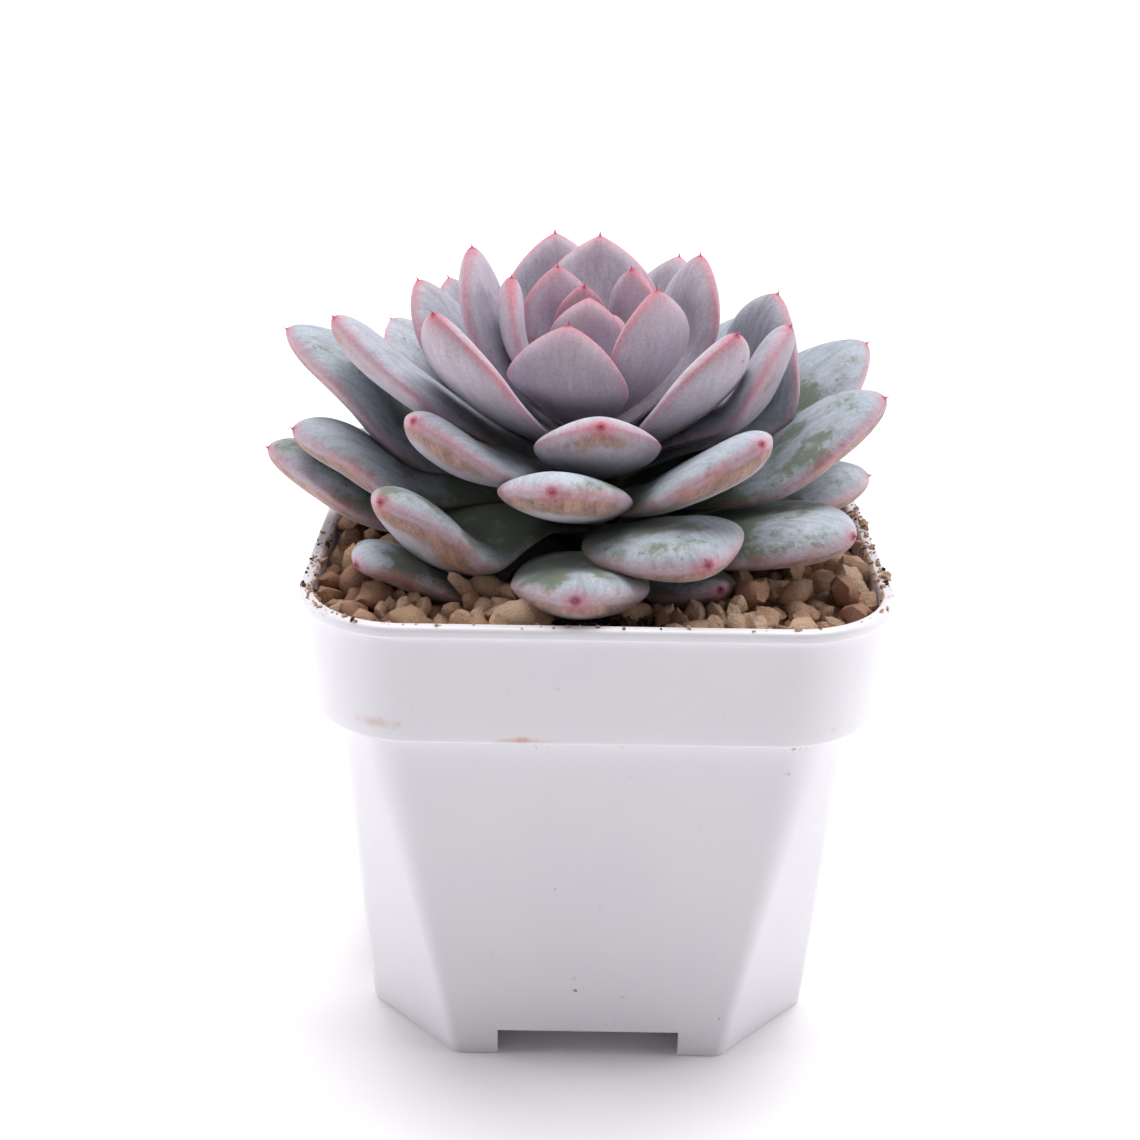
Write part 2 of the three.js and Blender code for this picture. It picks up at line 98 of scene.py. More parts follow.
def add(tree, kind, inputs=(), **settings):
    """Adds a node. settings are its own properties; inputs names each socket and gives its value, or
    the output that feeds it. Returns the node's first output."""
    made = tree.nodes.new("ShaderNode" + kind)
    for name, value in settings.items():
        setattr(made, name, value)
    for name, value in dict(inputs).items():
        if isinstance(value, bpy.types.NodeSocket):
            tree.links.new(value, made.inputs[name])
        else:
            made.inputs[name].default_value = value
    return made.outputs[0] if len(made.outputs) else None


def bare_material(name):
    """A new material whose node tree is empty."""
    made = bpy.data.materials.new(name)
    made.use_nodes = True
    made.node_tree.nodes.clear()
    return made


room = bpy.data.worlds.new("white_room")
room.use_nodes = True
room.node_tree.nodes.clear()
seen = add(room.node_tree, "Background", {"Color": (1, 1, 1, 1), "Strength": 1.0})
fill = add(room.node_tree, "Background", {"Color": linear("#f4f0f8"), "Strength": ROOM_FILL})
eye = add(room.node_tree, "LightPath")
both = add(room.node_tree, "MixShader", {0: eye, 1: fill, 2: seen})
add(room.node_tree, "OutputWorld", {"Surface": both})
bpy.context.scene.world = room

floor_mesh = bpy.data.meshes.new("floor")
floor_corners = [(x * FLOOR_HALF, y * FLOOR_HALF, 0) for x, y in ((-1, -1), (1, -1), (1, 1), (-1, 1))]
floor_mesh.from_pydata(floor_corners, [], [(0, 1, 2, 3)])
table_top = bare_material("matt_white_card")
card = add(
    table_top.node_tree,
    "BsdfPrincipled",
    {"Base Color": linear("#fdfbfc"), "Roughness": 0.9, "Specular IOR Level": 0.2},
)
add(table_top.node_tree, "OutputMaterial", {"Surface": card})
floor_mesh.materials.append(table_top)
floor = bpy.data.objects.new("floor", floor_mesh)
bpy.context.collection.objects.link(floor)

sky_lamp = bpy.data.lights.new("overhead", "SUN")
sky_lamp.energy = SKY_STRENGTH
sky_lamp.angle = math.radians(SKY_SPREAD)
sky = bpy.data.objects.new("overhead", sky_lamp)
sky.rotation_euler = (math.radians(-18), math.radians(3), 0)
bpy.context.collection.objects.link(sky)

for side_name, side_sign in (("left_window", -1), ("right_window", 1)):
    side_lamp = bpy.data.lights.new(side_name, "AREA")
    side_lamp.shape = "RECTANGLE"
    side_lamp.size = 0.3
    side_lamp.size_y = 0.4
    side_lamp.energy = SIDE_POWER
    side = bpy.data.objects.new(side_name, side_lamp)
    side_from = np.array([side_sign * 0.5, -0.02, 0.20])
    side_aim = np.array([0.0, 0.0, 0.06]) - side_from
    side_aim /= np.linalg.norm(side_aim)
    side_right = np.cross(side_aim, [0, 0, 1])
    side_right /= np.linalg.norm(side_right)
    side_turn = Matrix(np.column_stack([side_right, np.cross(-side_aim, side_right), -side_aim]).tolist())
    side.matrix_world = Matrix.Translation(side_from.tolist()) @ side_turn.to_4x4()
    bpy.context.collection.objects.link(side)

bpy.context.scene.view_settings.view_transform = "Standard"

# ---------------------------------------------------------------- pot
# A square nursery pot injection-moulded in white polypropylene, 1.3 mm thick: a body that narrows
# to faceted corners and four feet, with a deep rim band and a small rolled lip above it.

POT_MIDDLE = np.array([3.8, 0.0])
POT_HEIGHT = 79.6
POT_WALL = 1.3
LIP_HALF = 44.3
LIP_THICK = 2.2
LIP_HEIGHT = 1.8
LIP_ROUND = 0.75  # radius of the lip's two upper edges
LIP_UNDER_ROUND = 0.45  # and of its lower edge
BAND_BOTTOM = 60.4
BAND_HALF_TOP = 43.5
BAND_HALF_BOTTOM = 43.0
BAND_CORNER = 16.5
BAND_EDGE = 0.8  # radius of the band's lower edge
BODY_HALF_TOP = 38.9
BODY_HALF_BOTTOM = 36.2
CHAMFER_TOP = 6.6
CHAMFER_BOTTOM = 14.8
FACET_EASE = 3.2  # radius of a facet's edges at the feet
FACET_EASE_TOP = 1.7 * CHAMFER_TOP  # and at the band, where the facet is rounded away
FOOT_HEIGHT = 4.8
FOOT_GAP_HALF = 14.6
FLOOR_THICK = 1.6
DRAIN_RADIUS = 4.0
DRAIN_SPREAD = 18.0
CORNER_STEPS = 9  # steps in each half of a corner
CUT_BELOW = 1.0  # how far under the feet a cut starts
CREASE = 32  # degrees between faces above which an edge stays sharp


def square_rings(half, leg, ease, height):
    """One outline for each entry of the arrays: a square of half width half whose corners are cut by
    a facet of leg leg. Both ends of the facet are eighth circles of radius ease, or the largest that
    fits, so that with a large ease the corner is a quarter circle. Points run round to the left."""
    given = np.broadcast_arrays(half, leg, ease, height)
    half, leg, ease, height = (np.asarray(part, float)[:, None, None] for part in given)
    radius = np.minimum(ease, 0.98 * leg * math.sqrt(0.5) / math.tan(math.pi / 8))
    inset = radius * math.tan(math.pi / 8)
    angle = np.linspace(0, math.pi / 4, CORNER_STEPS + 1)[None, None, :]
    first_x = half - radius + radius * np.cos(angle)
    first_y = half - leg - inset + radius * np.sin(angle)
    first = np.concatenate([first_x, first_y], axis=1)
    second = first[:, ::-1, ::-1]
    corner = np.concatenate([first, second], axis=2)
    x, y = corner[:, 0], corner[:, 1]
    xy = np.concatenate([np.stack(pair, -1) for pair in ((x, y), (-y, x), (-x, -y), (y, -x))], axis=1)
    z = np.broadcast_to(height[:, 0], xy.shape[:2])
    return np.concatenate([xy + POT_MIDDLE, z[..., None]], axis=2)


def body_rings(height, inset=0.0):
    """The body's outlines: half width and facet leg run straight from the feet to the band, and the
    facet's edges grow rounder with the square of the height."""
    height, inset = np.broadcast_arrays(np.asarray(height, float), inset)
    share = np.clip(height / BAND_BOTTOM, 0, 1)
    half = BODY_HALF_BOTTOM + (BODY_HALF_TOP - BODY_HALF_BOTTOM) * share - inset
    leg = CHAMFER_BOTTOM + (CHAMFER_TOP - CHAMFER_BOTTOM) * share - inset * (2 - math.sqrt(2))
    ease = FACET_EASE + (FACET_EASE_TOP - FACET_EASE) * share**2 - inset
    return square_rings(half, leg, np.maximum(ease, 1), height)


def band_rings(half, height, inset=0.0):
    """The rim band's outlines: a square with quarter-round corners, taken in by inset."""
    half, height, inset = np.broadcast_arrays(np.asarray(half, float), height, inset)
    radius = BAND_CORNER - inset
    return square_rings(half - inset, radius * (1 - math.sqrt(0.5)) * 2, radius, height)


def closed_shell(name, rings, first=None, last=None):
    """A closed mesh through rings[k, i], given in millimetres: a quad between neighbours, and a fan
    from a pole at each end. Rings run to the left as seen from the last end, so faces point out."""
    turns, count = rings.shape[:2]
    first = rings[0].mean(0) if first is None else first
    last = rings[-1].mean(0) if last is None else last
    points = np.concatenate([rings.reshape(-1, 3), [first], [last]]) * MM
    here = np.arange(turns * count).reshape(turns, count)
    beside = np.roll(here, -1, axis=1)
    quads = np.stack([here[:-1], beside[:-1], beside[1:], here[1:]], -1).reshape(-1, 4)
    foot = np.full(count, turns * count)
    start = np.stack([foot, beside[0], here[0]], -1)
    end = np.stack([foot + 1, here[-1], beside[-1]], -1)
    mesh = bpy.data.meshes.new(name)
    mesh.from_pydata(points.tolist(), [], quads.tolist() + start.tolist() + end.tolist())
    mesh.shade_smooth()
    made = bpy.data.objects.new(name, mesh)
    bpy.context.collection.objects.link(made)
    return made


def arc(centre_in, centre_up, radius, start, stop, steps):
    """Insets and heights of points on a circular arc, from angle start to stop in degrees; 0 points
    outwards and 90 up."""
    angle = np.radians(np.linspace(start, stop, steps))
    return centre_in - radius * np.cos(angle), centre_up + radius * np.sin(angle)


lip_foot = POT_HEIGHT - LIP_HEIGHT
floor_top = FOOT_HEIGHT + FLOOR_THICK


def band_half_at(height):
    """The band's half width at a height: it widens in a straight line from its lower edge to the lip."""
    widening = (BAND_HALF_TOP - BAND_HALF_BOTTOM) * (height - BAND_BOTTOM)
    return BAND_HALF_BOTTOM + widening / (lip_foot - BAND_BOTTOM)


edge_in, edge_up = arc(BAND_EDGE, BAND_BOTTOM + BAND_EDGE, BAND_EDGE, -90, 0, 6)
side_up = np.linspace(BAND_BOTTOM + 3, lip_foot - 1.2, 5)
lip_low_in, lip_low_up = arc(LIP_UNDER_ROUND, lip_foot + LIP_UNDER_ROUND, LIP_UNDER_ROUND, -60, 0, 4)
lip_out_in, lip_out_up = arc(LIP_ROUND, POT_HEIGHT - LIP_ROUND, LIP_ROUND, 0, 90, 7)
lip_in_in, lip_in_up = arc(LIP_THICK - LIP_ROUND, POT_HEIGHT - LIP_ROUND, LIP_ROUND, 90, 180, 7)
inner_up = np.linspace(lip_foot - 1.5, BAND_BOTTOM + POT_WALL + 2.0, 6)
pot_rings = np.concatenate([
    body_rings([0.0, 0.15], [0.15, 0.0]),
    body_rings(np.linspace(1, BAND_BOTTOM - 0.7, 16)),
    body_rings([BAND_BOTTOM - 0.2, BAND_BOTTOM], [-0.15, -0.6]),
    band_rings(BAND_HALF_BOTTOM, edge_up, edge_in),
    band_rings(band_half_at(side_up), side_up),
    band_rings([BAND_HALF_TOP, BAND_HALF_TOP], [lip_foot - 0.5, lip_foot - 0.1], [0.0, -0.12]),
    band_rings(LIP_HALF, lip_low_up, lip_low_in),
    band_rings(LIP_HALF, lip_out_up, lip_out_in),
    band_rings(LIP_HALF, lip_in_up, lip_in_in),
    band_rings(band_half_at(inner_up), inner_up, POT_WALL),
    band_rings([BAND_HALF_BOTTOM], [BAND_BOTTOM + POT_WALL + 0.9], POT_WALL),
    body_rings([BAND_BOTTOM + POT_WALL, BAND_BOTTOM - 1], POT_WALL),
    body_rings(np.linspace(BAND_BOTTOM - 8, floor_top + 1.2, 4), POT_WALL),
    body_rings([floor_top + 0.3, floor_top], [POT_WALL + 0.3, POT_WALL + 1.2]),
])
pot = closed_shell("nursery_pot", pot_rings)



def upright_prism(name, plan, low, high):
    """A closed mesh with the outline plan, upright from height low to height high."""
    return closed_shell(name, np.stack([np.column_stack([plan, np.full(len(plan), z)]) for z in (low, high)]))


pot_cutters = [closed_shell("recess", body_rings([-CUT_BELOW, FOOT_HEIGHT], POT_WALL))]
for gap_wide, gap_deep in ((FOOT_GAP_HALF, 60.0), (60.0, FOOT_GAP_HALF)):
    gap_plan = np.array([(1, -1), (1, 1), (-1, 1), (-1, -1)]) * (gap_wide, gap_deep) + POT_MIDDLE
    pot_cutters.append(upright_prism("foot_gap", gap_plan, -CUT_BELOW, FOOT_HEIGHT))
drain_turn = np.radians([45, 135, 225, 315])
drain_spots = np.column_stack([np.cos(drain_turn), np.sin(drain_turn)]) * DRAIN_SPREAD
for spot in np.concatenate([[[0.0, 0.0]], drain_spots]) + POT_MIDDLE:
    hole_turn = np.linspace(0, 2 * math.pi, 32, endpoint=False)
    hole_plan = np.column_stack([np.cos(hole_turn), np.sin(hole_turn)]) * DRAIN_RADIUS + spot
    pot_cutters.append(upright_prism("drain_hole", hole_plan, FOOT_HEIGHT - 2, FOOT_HEIGHT + 4))
for cutter in pot_cutters:
    cut = pot.modifiers.new(cutter.name, "BOOLEAN")
    cut.operation = "DIFFERENCE"
    cut.solver = "EXACT"
    cut.object = cutter
bpy.context.view_layer.update()
pot_cut = bpy.data.meshes.new_from_object(pot.evaluated_get(bpy.context.evaluated_depsgraph_get()))
pot.modifiers.clear()
pot.data = pot_cut
pot_cut.name = "nursery_pot"
for cutter in pot_cutters:
    bpy.data.objects.remove(cutter)
pot_cut.shade_smooth()
pot_cut.set_sharp_from_angle(angle=math.radians(CREASE))


def inside_square(x, y, half, corner):
    """How far a point is inside a square with rounded corners, in millimetres; below 0 is outside."""
    past_x = np.abs(x - POT_MIDDLE[0]) - (half - corner)
    past_y = np.abs(y - POT_MIDDLE[1]) - (half - corner)
    round_part = np.hypot(np.maximum(past_x, 0), np.maximum(past_y, 0))
    return corner - round_part - np.minimum(np.maximum(past_x, past_y), 0)


pot_points = np.empty(len(pot_cut.vertices) * 3)
pot_cut.vertices.foreach_get("co", pot_points)
pot_points = pot_points.reshape(-1, 3) / MM
band_share = (pot_points[:, 2] - BAND_BOTTOM) / (lip_foot - BAND_BOTTOM)
band_half = BAND_HALF_BOTTOM + (BAND_HALF_TOP - BAND_HALF_BOTTOM) * band_share
within = inside_square(pot_points[:, 0], pot_points[:, 1], band_half, BAND_CORNER)
inner_side = (within > 0.7 * POT_WALL) & (band_share > 0.1)
pot_cut.attributes.new("inner_side", "FLOAT", "POINT").data.foreach_set("value", inner_side.astype(float))

# Polypropylene as it comes from the mould: a soft semi-gloss that lets a little light in, so edges
# look milky. Handling has left faint scuffs, and damp mix has left brown marks under the rim.
plastic = bare_material("white_polypropylene")
tree = plastic.node_tree
place = add(tree, "TexCoord").node.outputs["Object"]
PLASTIC_WHITE = linear("#e3e1e6")
PLASTIC_SCUFF = linear("#c9c2c8")
MARK_BROWN = linear("#c79a80")
MARK_DARK = linear("#6b4a38")
cloudy = add(tree, "TexNoise", {"Vector": place, "Scale": 1 / (22 * MM), "Detail": 3.0})
cloud_share = add(tree, "MapRange", {"Value": cloudy, "From Min": 0.35, "From Max": 0.7, "To Max": 0.22})
skin = add(tree, "MixRGB", {"Fac": cloud_share, "Color1": PLASTIC_WHITE, "Color2": linear("#d9d5de")})

# short dark scuffs and specks, one to every few square centimetres
speck_cell = add(tree, "TexVoronoi", {"Vector": place, "Scale": 1 / (15 * MM), "Randomness": 1.0})
speck_warp = add(tree, "TexNoise", {"Vector": place, "Scale": 1 / (1.1 * MM), "Detail": 2.0})
speck_far = add(tree, "Math", {0: speck_cell, 1: speck_warp}, operation="ADD")
speck = add(
    tree, "MapRange", {"Value": speck_far, "From Min": 0.36, "From Max": 0.41, "To Min": 0.75, "To Max": 0.0}
)
skin = add(tree, "MixRGB", {"Fac": speck, "Color1": skin, "Color2": MARK_DARK})
scratch_lie = add(tree, "Mapping", {"Vector": place, "Scale": (1.0, 1.0, 0.22), "Rotation": (0.4, 0.3, 0.0)})
scratch_noise = add(tree, "TexNoise", {"Vector": scratch_lie, "Scale": 1 / (1.4 * MM), "Detail": 3.0})
scratch = add(tree, "MapRange", {"Value": scratch_noise, "From Min": 0.70, "From Max": 0.82, "To Max": 0.25})
skin = add(tree, "MixRGB", {"Fac": scratch, "Color1": skin, "Color2": PLASTIC_SCUFF})

# brown water marks on the band
blotch = add(tree, "TexNoise", {"Vector": place, "Scale": 1 / (3.2 * MM), "Detail": 5.0, "Roughness": 0.7})
for mark_at, mark_size, mark_depth in (
    ((-28.5, -43.2, 63.6), (7.0, 5.0, 1.8), 0.75),
    ((-7.0, -43.0, 61.3), (8.0, 5.0, 0.9), 0.8),
    ((20.0, 43.0, 63.0), (9.0, 5.0, 2.0), 0.5),
):
    off = add(tree, "VectorMath", {0: place, 1: [c * MM for c in mark_at]}, operation="SUBTRACT")
    scaled = add(tree, "VectorMath", {0: off, 1: [1 / (c * MM) for c in mark_size]}, operation="MULTIPLY")
    far = add(tree, "VectorMath", {0: scaled}, operation="LENGTH").node.outputs["Value"]
    near = add(
        tree, "MapRange", {"Value": far, "From Min": 0.0, "From Max": 1.0, "To Min": 0.5, "To Max": 0.0}
    )
    mark_sum = add(tree, "Math", {0: near, 1: blotch}, operation="ADD")
    mark = add(
        tree, "MapRange", {"Value": mark_sum, "From Min": 0.68, "From Max": 1.05, "To Max": mark_depth}
    )
    skin = add(tree, "MixRGB", {"Fac": mark, "Color1": skin, "Color2": MARK_BROWN})

# dust of clay and mix caught on the lip and down the inside of the wall
height = add(tree, "SeparateXYZ", {"Vector": place}).node.outputs["Z"]
grime_noise = add(
    tree, "TexNoise", {"Vector": place, "Scale": 1 / (1.7 * MM), "Detail": 6.0, "Roughness": 0.75}
)
grime_sheet = add(tree, "TexNoise", {"Vector": place, "Scale": 1 / (14 * MM), "Detail": 2.0})
lip_near = add(
    tree,
    "MapRange",
    {"Value": height, "From Min": (POT_HEIGHT - 0.8) * MM, "From Max": POT_HEIGHT * MM, "To Max": 0.09},
)
inner = add(tree, "Attribute", attribute_name="inner_side").node.outputs["Fac"]
inner_dirt = add(tree, "Math", {0: inner, 1: 0.16}, operation="MULTIPLY")
grime_lift = add(tree, "Math", {0: lip_near, 1: inner_dirt}, operation="ADD")
grime_mixed = add(tree, "Math", {0: grime_noise, 1: grime_sheet}, operation="MULTIPLY")
grime_sum = add(tree, "Math", {0: grime_mixed, 1: grime_lift}, operation="ADD")
grime = add(tree, "MapRange", {"Value": grime_sum, "From Min": 0.42, "From Max": 0.50, "To Max": 0.8})
skin = add(tree, "MixRGB", {"Fac": grime, "Color1": skin, "Color2": linear("#9c7456")})

orange_peel = add(tree, "TexNoise", {"Vector": place, "Scale": 1 / (2.4 * MM), "Detail": 2.0})
peel_and_scratch = add(tree, "Math", {0: orange_peel, 1: scratch_noise}, operation="ADD")
relief = add(tree, "Bump", {"Height": peel_and_scratch, "Strength": 0.12, "Distance": 0.05 * MM})
gloss = add(
    tree, "MapRange", {"Value": cloudy, "From Min": 0.3, "From Max": 0.7, "To Min": 0.34, "To Max": 0.46}
)
moulded = add(
    tree,
    "BsdfPrincipled",
    {
        "Base Color": skin,
        "Roughness": gloss,
        "IOR": 1.49,
        "Subsurface Weight": 0.12,
        "Subsurface Radius": (1.0, 0.9, 0.95),
        "Subsurface Scale": 2.0 * MM,
        "Normal": relief,
    },
)
add(tree, "OutputMaterial", {"Surface": moulded})
pot_cut.materials.append(plastic)
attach(pot, "root")
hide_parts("pot")

# ---------------------------------------------------------------- soil
# Dark potting mix of peat and fine bark that fills the pot to 6 mm under the rim, heaped a little
# round the plant and pushed up against the front wall and the left one.

SOIL_TOP = 73.6
SOIL_GAP = 0.25  # between the mix and the wall
SOIL_ROUND = 220  # points round the mix's edge
HEAP_HEIGHT = 1.8
BANK_HEIGHT = 2.6
DRIFT_HEIGHT = 3.0
LATTICE_SIDE = 64  # random values along a side of the lattice before it repeats
STEM_AXIS = np.array([2.8, 0.0])


def lumps(x, y, size, seed):
    """Smooth random heights from -1 to 1: random values on a square lattice of spacing size, eased
    from corner to corner."""
    lattice = np.random.default_rng(seed).uniform(-1, 1, (LATTICE_SIDE, LATTICE_SIDE))
    cell_x, cell_y = np.floor(x / size).astype(int), np.floor(y / size).astype(int)
    part_x, part_y = x / size - cell_x, y / size - cell_y
    ease_x, ease_y = part_x**2 * (3 - 2 * part_x), part_y**2 * (3 - 2 * part_y)
    left, right = cell_x % LATTICE_SIDE, (cell_x + 1) % LATTICE_SIDE
    front, back = cell_y % LATTICE_SIDE, (cell_y + 1) % LATTICE_SIDE
    low = lattice[left, front] * (1 - ease_x) + lattice[right, front] * ease_x
    high = lattice[left, back] * (1 - ease_x) + lattice[right, back] * ease_x
    return low * (1 - ease_y) + high * ease_y


def soil_height(x, y):
    """The mix's surface: a level, a low cone round the stem, a bank at the front wall and one at the
    left wall, and lumps of three sizes."""
    heap = HEAP_HEIGHT * np.clip(1 - np.hypot(x - STEM_AXIS[0], y - STEM_AXIS[1]) / 22, 0, 1)
    bank = BANK_HEIGHT * np.exp(-(((x - 7) / 11) ** 2) - (((y + 37) / 6.5) ** 2))
    drift = DRIFT_HEIGHT * np.exp(-(((x + 37) / 5) ** 2) - (((y - 2) / 9) ** 2))
    rough = 0.5 * lumps(x, y, 6, 1) + 0.38 * lumps(x, y, 2.1, 2) + 0.22 * lumps(x, y, 0.9, 3)
    return SOIL_TOP + heap + bank + drift + rough


def round_outline(outline, shares):
    """Points that lie given shares of the way round a closed outline, by length along its edges."""
    loop = np.concatenate([outline, outline[:1]])
    run = np.concatenate([[0], np.cumsum(np.linalg.norm(np.diff(loop, axis=0), axis=1))])
    return np.column_stack([np.interp(shares * run[-1], run, loop[:, axis]) for axis in (0, 1)])


mouth_plan = band_rings([BAND_HALF_TOP], [0.0], POT_WALL + SOIL_GAP)[0, :, :2]
soil_edge = round_outline(mouth_plan, np.linspace(0, 1, SOIL_ROUND, endpoint=False))
soil_share = np.linspace(1, 0.02, 64)[:, None, None]
soil_plan = POT_MIDDLE + (soil_edge[None] - POT_MIDDLE) * soil_share
soil_skin = np.dstack([soil_plan, soil_height(soil_plan[..., 0], soil_plan[..., 1])])
soil_skirt_height = np.array([floor_top + 0.2, BAND_BOTTOM + 1.0, BAND_BOTTOM + 2.6, SOIL_TOP - 1.2])
skirt_scale = np.array([  # the mix's outline in the body is a smaller copy of the one in the mouth
    (BODY_HALF_BOTTOM - POT_WALL - 0.3) / BAND_HALF_TOP - 0.03,
    (BODY_HALF_TOP - POT_WALL - 0.7) / BAND_HALF_TOP - 0.03,
    0.988,
    1.0,
])
skirt_plan = POT_MIDDLE + (soil_edge[None] - POT_MIDDLE) * skirt_scale[:, None, None]
soil_skirt = np.dstack([skirt_plan, np.broadcast_to(soil_skirt_height[:, None], skirt_plan.shape[:2])])
soil = closed_shell("potting_mix", np.concatenate([soil_skirt, soil_skin]))

# Peat is nearly black and soaks up light; torn fibres and bark show as brown flecks a millimetre or
# two across.
peat = bare_material("damp_peat_mix")
tree = peat.node_tree
place = add(tree, "TexCoord").node.outputs["Object"]
grain = add(tree, "TexNoise", {"Vector": place, "Scale": 1 / (1.3 * MM), "Detail": 6.0, "Roughness": 0.7})
fleck_cell = add(tree, "TexVoronoi", {"Vector": place, "Scale": 1 / (1.8 * MM)})
fleck = add(
    tree, "MapRange", {"Value": fleck_cell, "From Min": 0.12, "From Max": 0.3, "To Min": 0.6, "To Max": 0.0}
)
dark_share = add(tree, "MapRange", {"Value": grain, "From Min": 0.35, "From Max": 0.68})
peat_skin = add(tree, "MixRGB", {"Fac": dark_share, "Color1": linear("#33271f"), "Color2": linear("#66503f")})
peat_skin = add(tree, "MixRGB", {"Fac": fleck, "Color1": peat_skin, "Color2": linear("#7a5c46")})
peat_relief = add(tree, "Bump", {"Height": grain, "Strength": 0.9, "Distance": 0.6 * MM})
peat_matt = add(
    tree,
    "BsdfPrincipled",
    {"Base Color": peat_skin, "Roughness": 0.95, "Specular IOR Level": 0.25, "Normal": peat_relief},
)
add(tree, "OutputMaterial", {"Surface": peat_matt})
soil.data.materials.append(peat)
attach(soil, "root")
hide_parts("soil")

# ---------------------------------------------------------------- stem
# A short fleshy stem that the leaves grow from in a spiral. It tapers upwards, and rings of dry
# scars mark where the oldest leaves fell off. Only glimpses of it show between the leaf bases.

STEM_FOOT_RADIUS = 3.6
STEM_TAPER = 2.3  # how much thinner it is at its top
STEM_SHRINK = 0.97  # leaves room for the scars that stand out

stem_low, stem_high = (np.array(corner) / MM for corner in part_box("stem"))
stem_z = np.linspace(stem_low[2], stem_high[2], 60)
stem_share = (stem_z - stem_low[2]) / (stem_high[2] - stem_low[2])
stem_turn = np.linspace(0, 2 * math.pi, 32, endpoint=False)
stem_scar = 0.12 * np.sin(stem_z[:, None] * 2.2 + 3 * stem_turn[None]) * (1 - stem_share[:, None])
stem_radius = (STEM_FOOT_RADIUS - STEM_TAPER * stem_share)[:, None] * STEM_SHRINK + stem_scar
stem_rings = np.dstack([
    STEM_AXIS[0] + stem_radius * np.cos(stem_turn),
    STEM_AXIS[1] + stem_radius * np.sin(stem_turn),
    np.broadcast_to(stem_z[:, None], stem_radius.shape),
])
stem = closed_shell("fleshy_stem", stem_rings)

# Corky older skin: matt, grey-brown, with the pale green of the living stem showing through.
cork = bare_material("corky_stem_skin")
tree = cork.node_tree
place = add(tree, "TexCoord").node.outputs["Object"]
cork_grain = add(tree, "TexNoise", {"Vector": place, "Scale": 1 / (1.5 * MM), "Detail": 5.0})
cork_share = add(tree, "MapRange", {"Value": cork_grain, "From Min": 0.4, "From Max": 0.62})
cork_skin = add(tree, "MixRGB", {"Fac": cork_share, "Color1": linear("#8f9478"), "Color2": linear("#7d6a55")})
cork_relief = add(tree, "Bump", {"Height": cork_grain, "Strength": 0.6, "Distance": 0.3 * MM})
cork_matt = add(tree, "BsdfPrincipled", {"Base Color": cork_skin, "Roughness": 0.8, "Normal": cork_relief})
add(tree, "OutputMaterial", {"Surface": cork_matt})
stem.data.materials.append(cork)
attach(stem, "root")
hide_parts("stem")

# ---------------------------------------------------------------- leaves
# Forty-nine thick pointed leaves in one spiral, the youngest upright in the heart. Each is a spoon of
# soft flesh under a smooth skin, flat-topped, keeled below, and closed by a small hard red point.

LEAF_STATIONS = np.array([0, 0.13, 0.28, 0.44, 0.58, 0.7, 0.8, 0.88, 0.945, 0.98])
LEAF_POINTS = 10  # points round each of the ten rings
POINT_LENGTH = 1.4
WIDEST = 0.66  # share of the length where a leaf is widest
FULLEST = 0.76  # and where it is thickest
UPPER_SHARE = 0.52  # of the thickness lies above the margins
WIDEST_RING = 5  # the ring nearest to that place
CUP = 0.05  # how far the margins stand up, as a share of the half width
LEAF_ARCH = 2.0  # how far the oldest leaves' middles arch upwards
LEAF_ALONG = 56  # outlines along a leaf's body
LEAF_ROUND = 44  # points round each of them


def leaf_rings(mesh):
    """A CAD leaf's points as rings[10, 10, 3] from joint to tip, with its joint and its tip. The two
    points with ten neighbours are the ends; a ring is all points equally many edges from the joint.
    Points are put in order by their angle about the ring's middle, from the right-hand margin up."""
    corners = np.empty(len(mesh.vertices) * 3, np.float32)
    mesh.vertices.foreach_get("co", corners)
    mesh.calc_loop_triangles()
    faces = np.empty(len(mesh.loop_triangles) * 3, int)
    mesh.loop_triangles.foreach_get("vertices", faces)
    points, same = np.unique(np.round(corners.reshape(-1, 3), 6), axis=0, return_inverse=True)
    points = points.astype(float) / MM
    faces = same.reshape(-1)[faces].reshape(-1, 3)
    linked = np.zeros((len(points), len(points)), bool)
    for a, b in ((0, 1), (1, 2), (2, 0)):
        linked[faces[:, a], faces[:, b]] = True
        linked[faces[:, b], faces[:, a]] = True
    ends = np.flatnonzero(linked.sum(1) == LEAF_POINTS)
    joint, tip = sorted(ends, key=lambda k: points[k, 2])
    steps = np.full(len(points), -1)
    steps[joint] = 0
    for step in range(1, len(LEAF_STATIONS) + 2):
        reached = linked[steps >= 0].any(0) & (steps < 0)
        steps[reached] = step
    rings = np.stack([points[steps == k + 1] for k in range(len(LEAF_STATIONS))])
    outward = points[joint, :2] - STEM_AXIS
    outward /= np.linalg.norm(outward)
    side = np.array([-outward[1], outward[0], 0.0])
    centre = rings.mean(1)
    slope = np.gradient(centre, axis=0)
    slope /= np.linalg.norm(slope, axis=1, keepdims=True)
    normal = np.cross(slope, side)
    from_centre = rings - centre[:, None]
    sideways = from_centre @ side
    upwards = np.einsum("kij,kj->ki", from_centre, normal)
    order = np.argsort(np.arctan2(upwards, sideways), axis=1)
    ordered = np.take_along_axis(sideways, order, 1)
    from_margin = (ordered.argmax(1)[:, None] + np.arange(LEAF_POINTS)) % LEAF_POINTS
    order = np.take_along_axis(order, from_margin, 1)
    return np.take_along_axis(rings, order[..., None], 1), points[joint], points[tip]


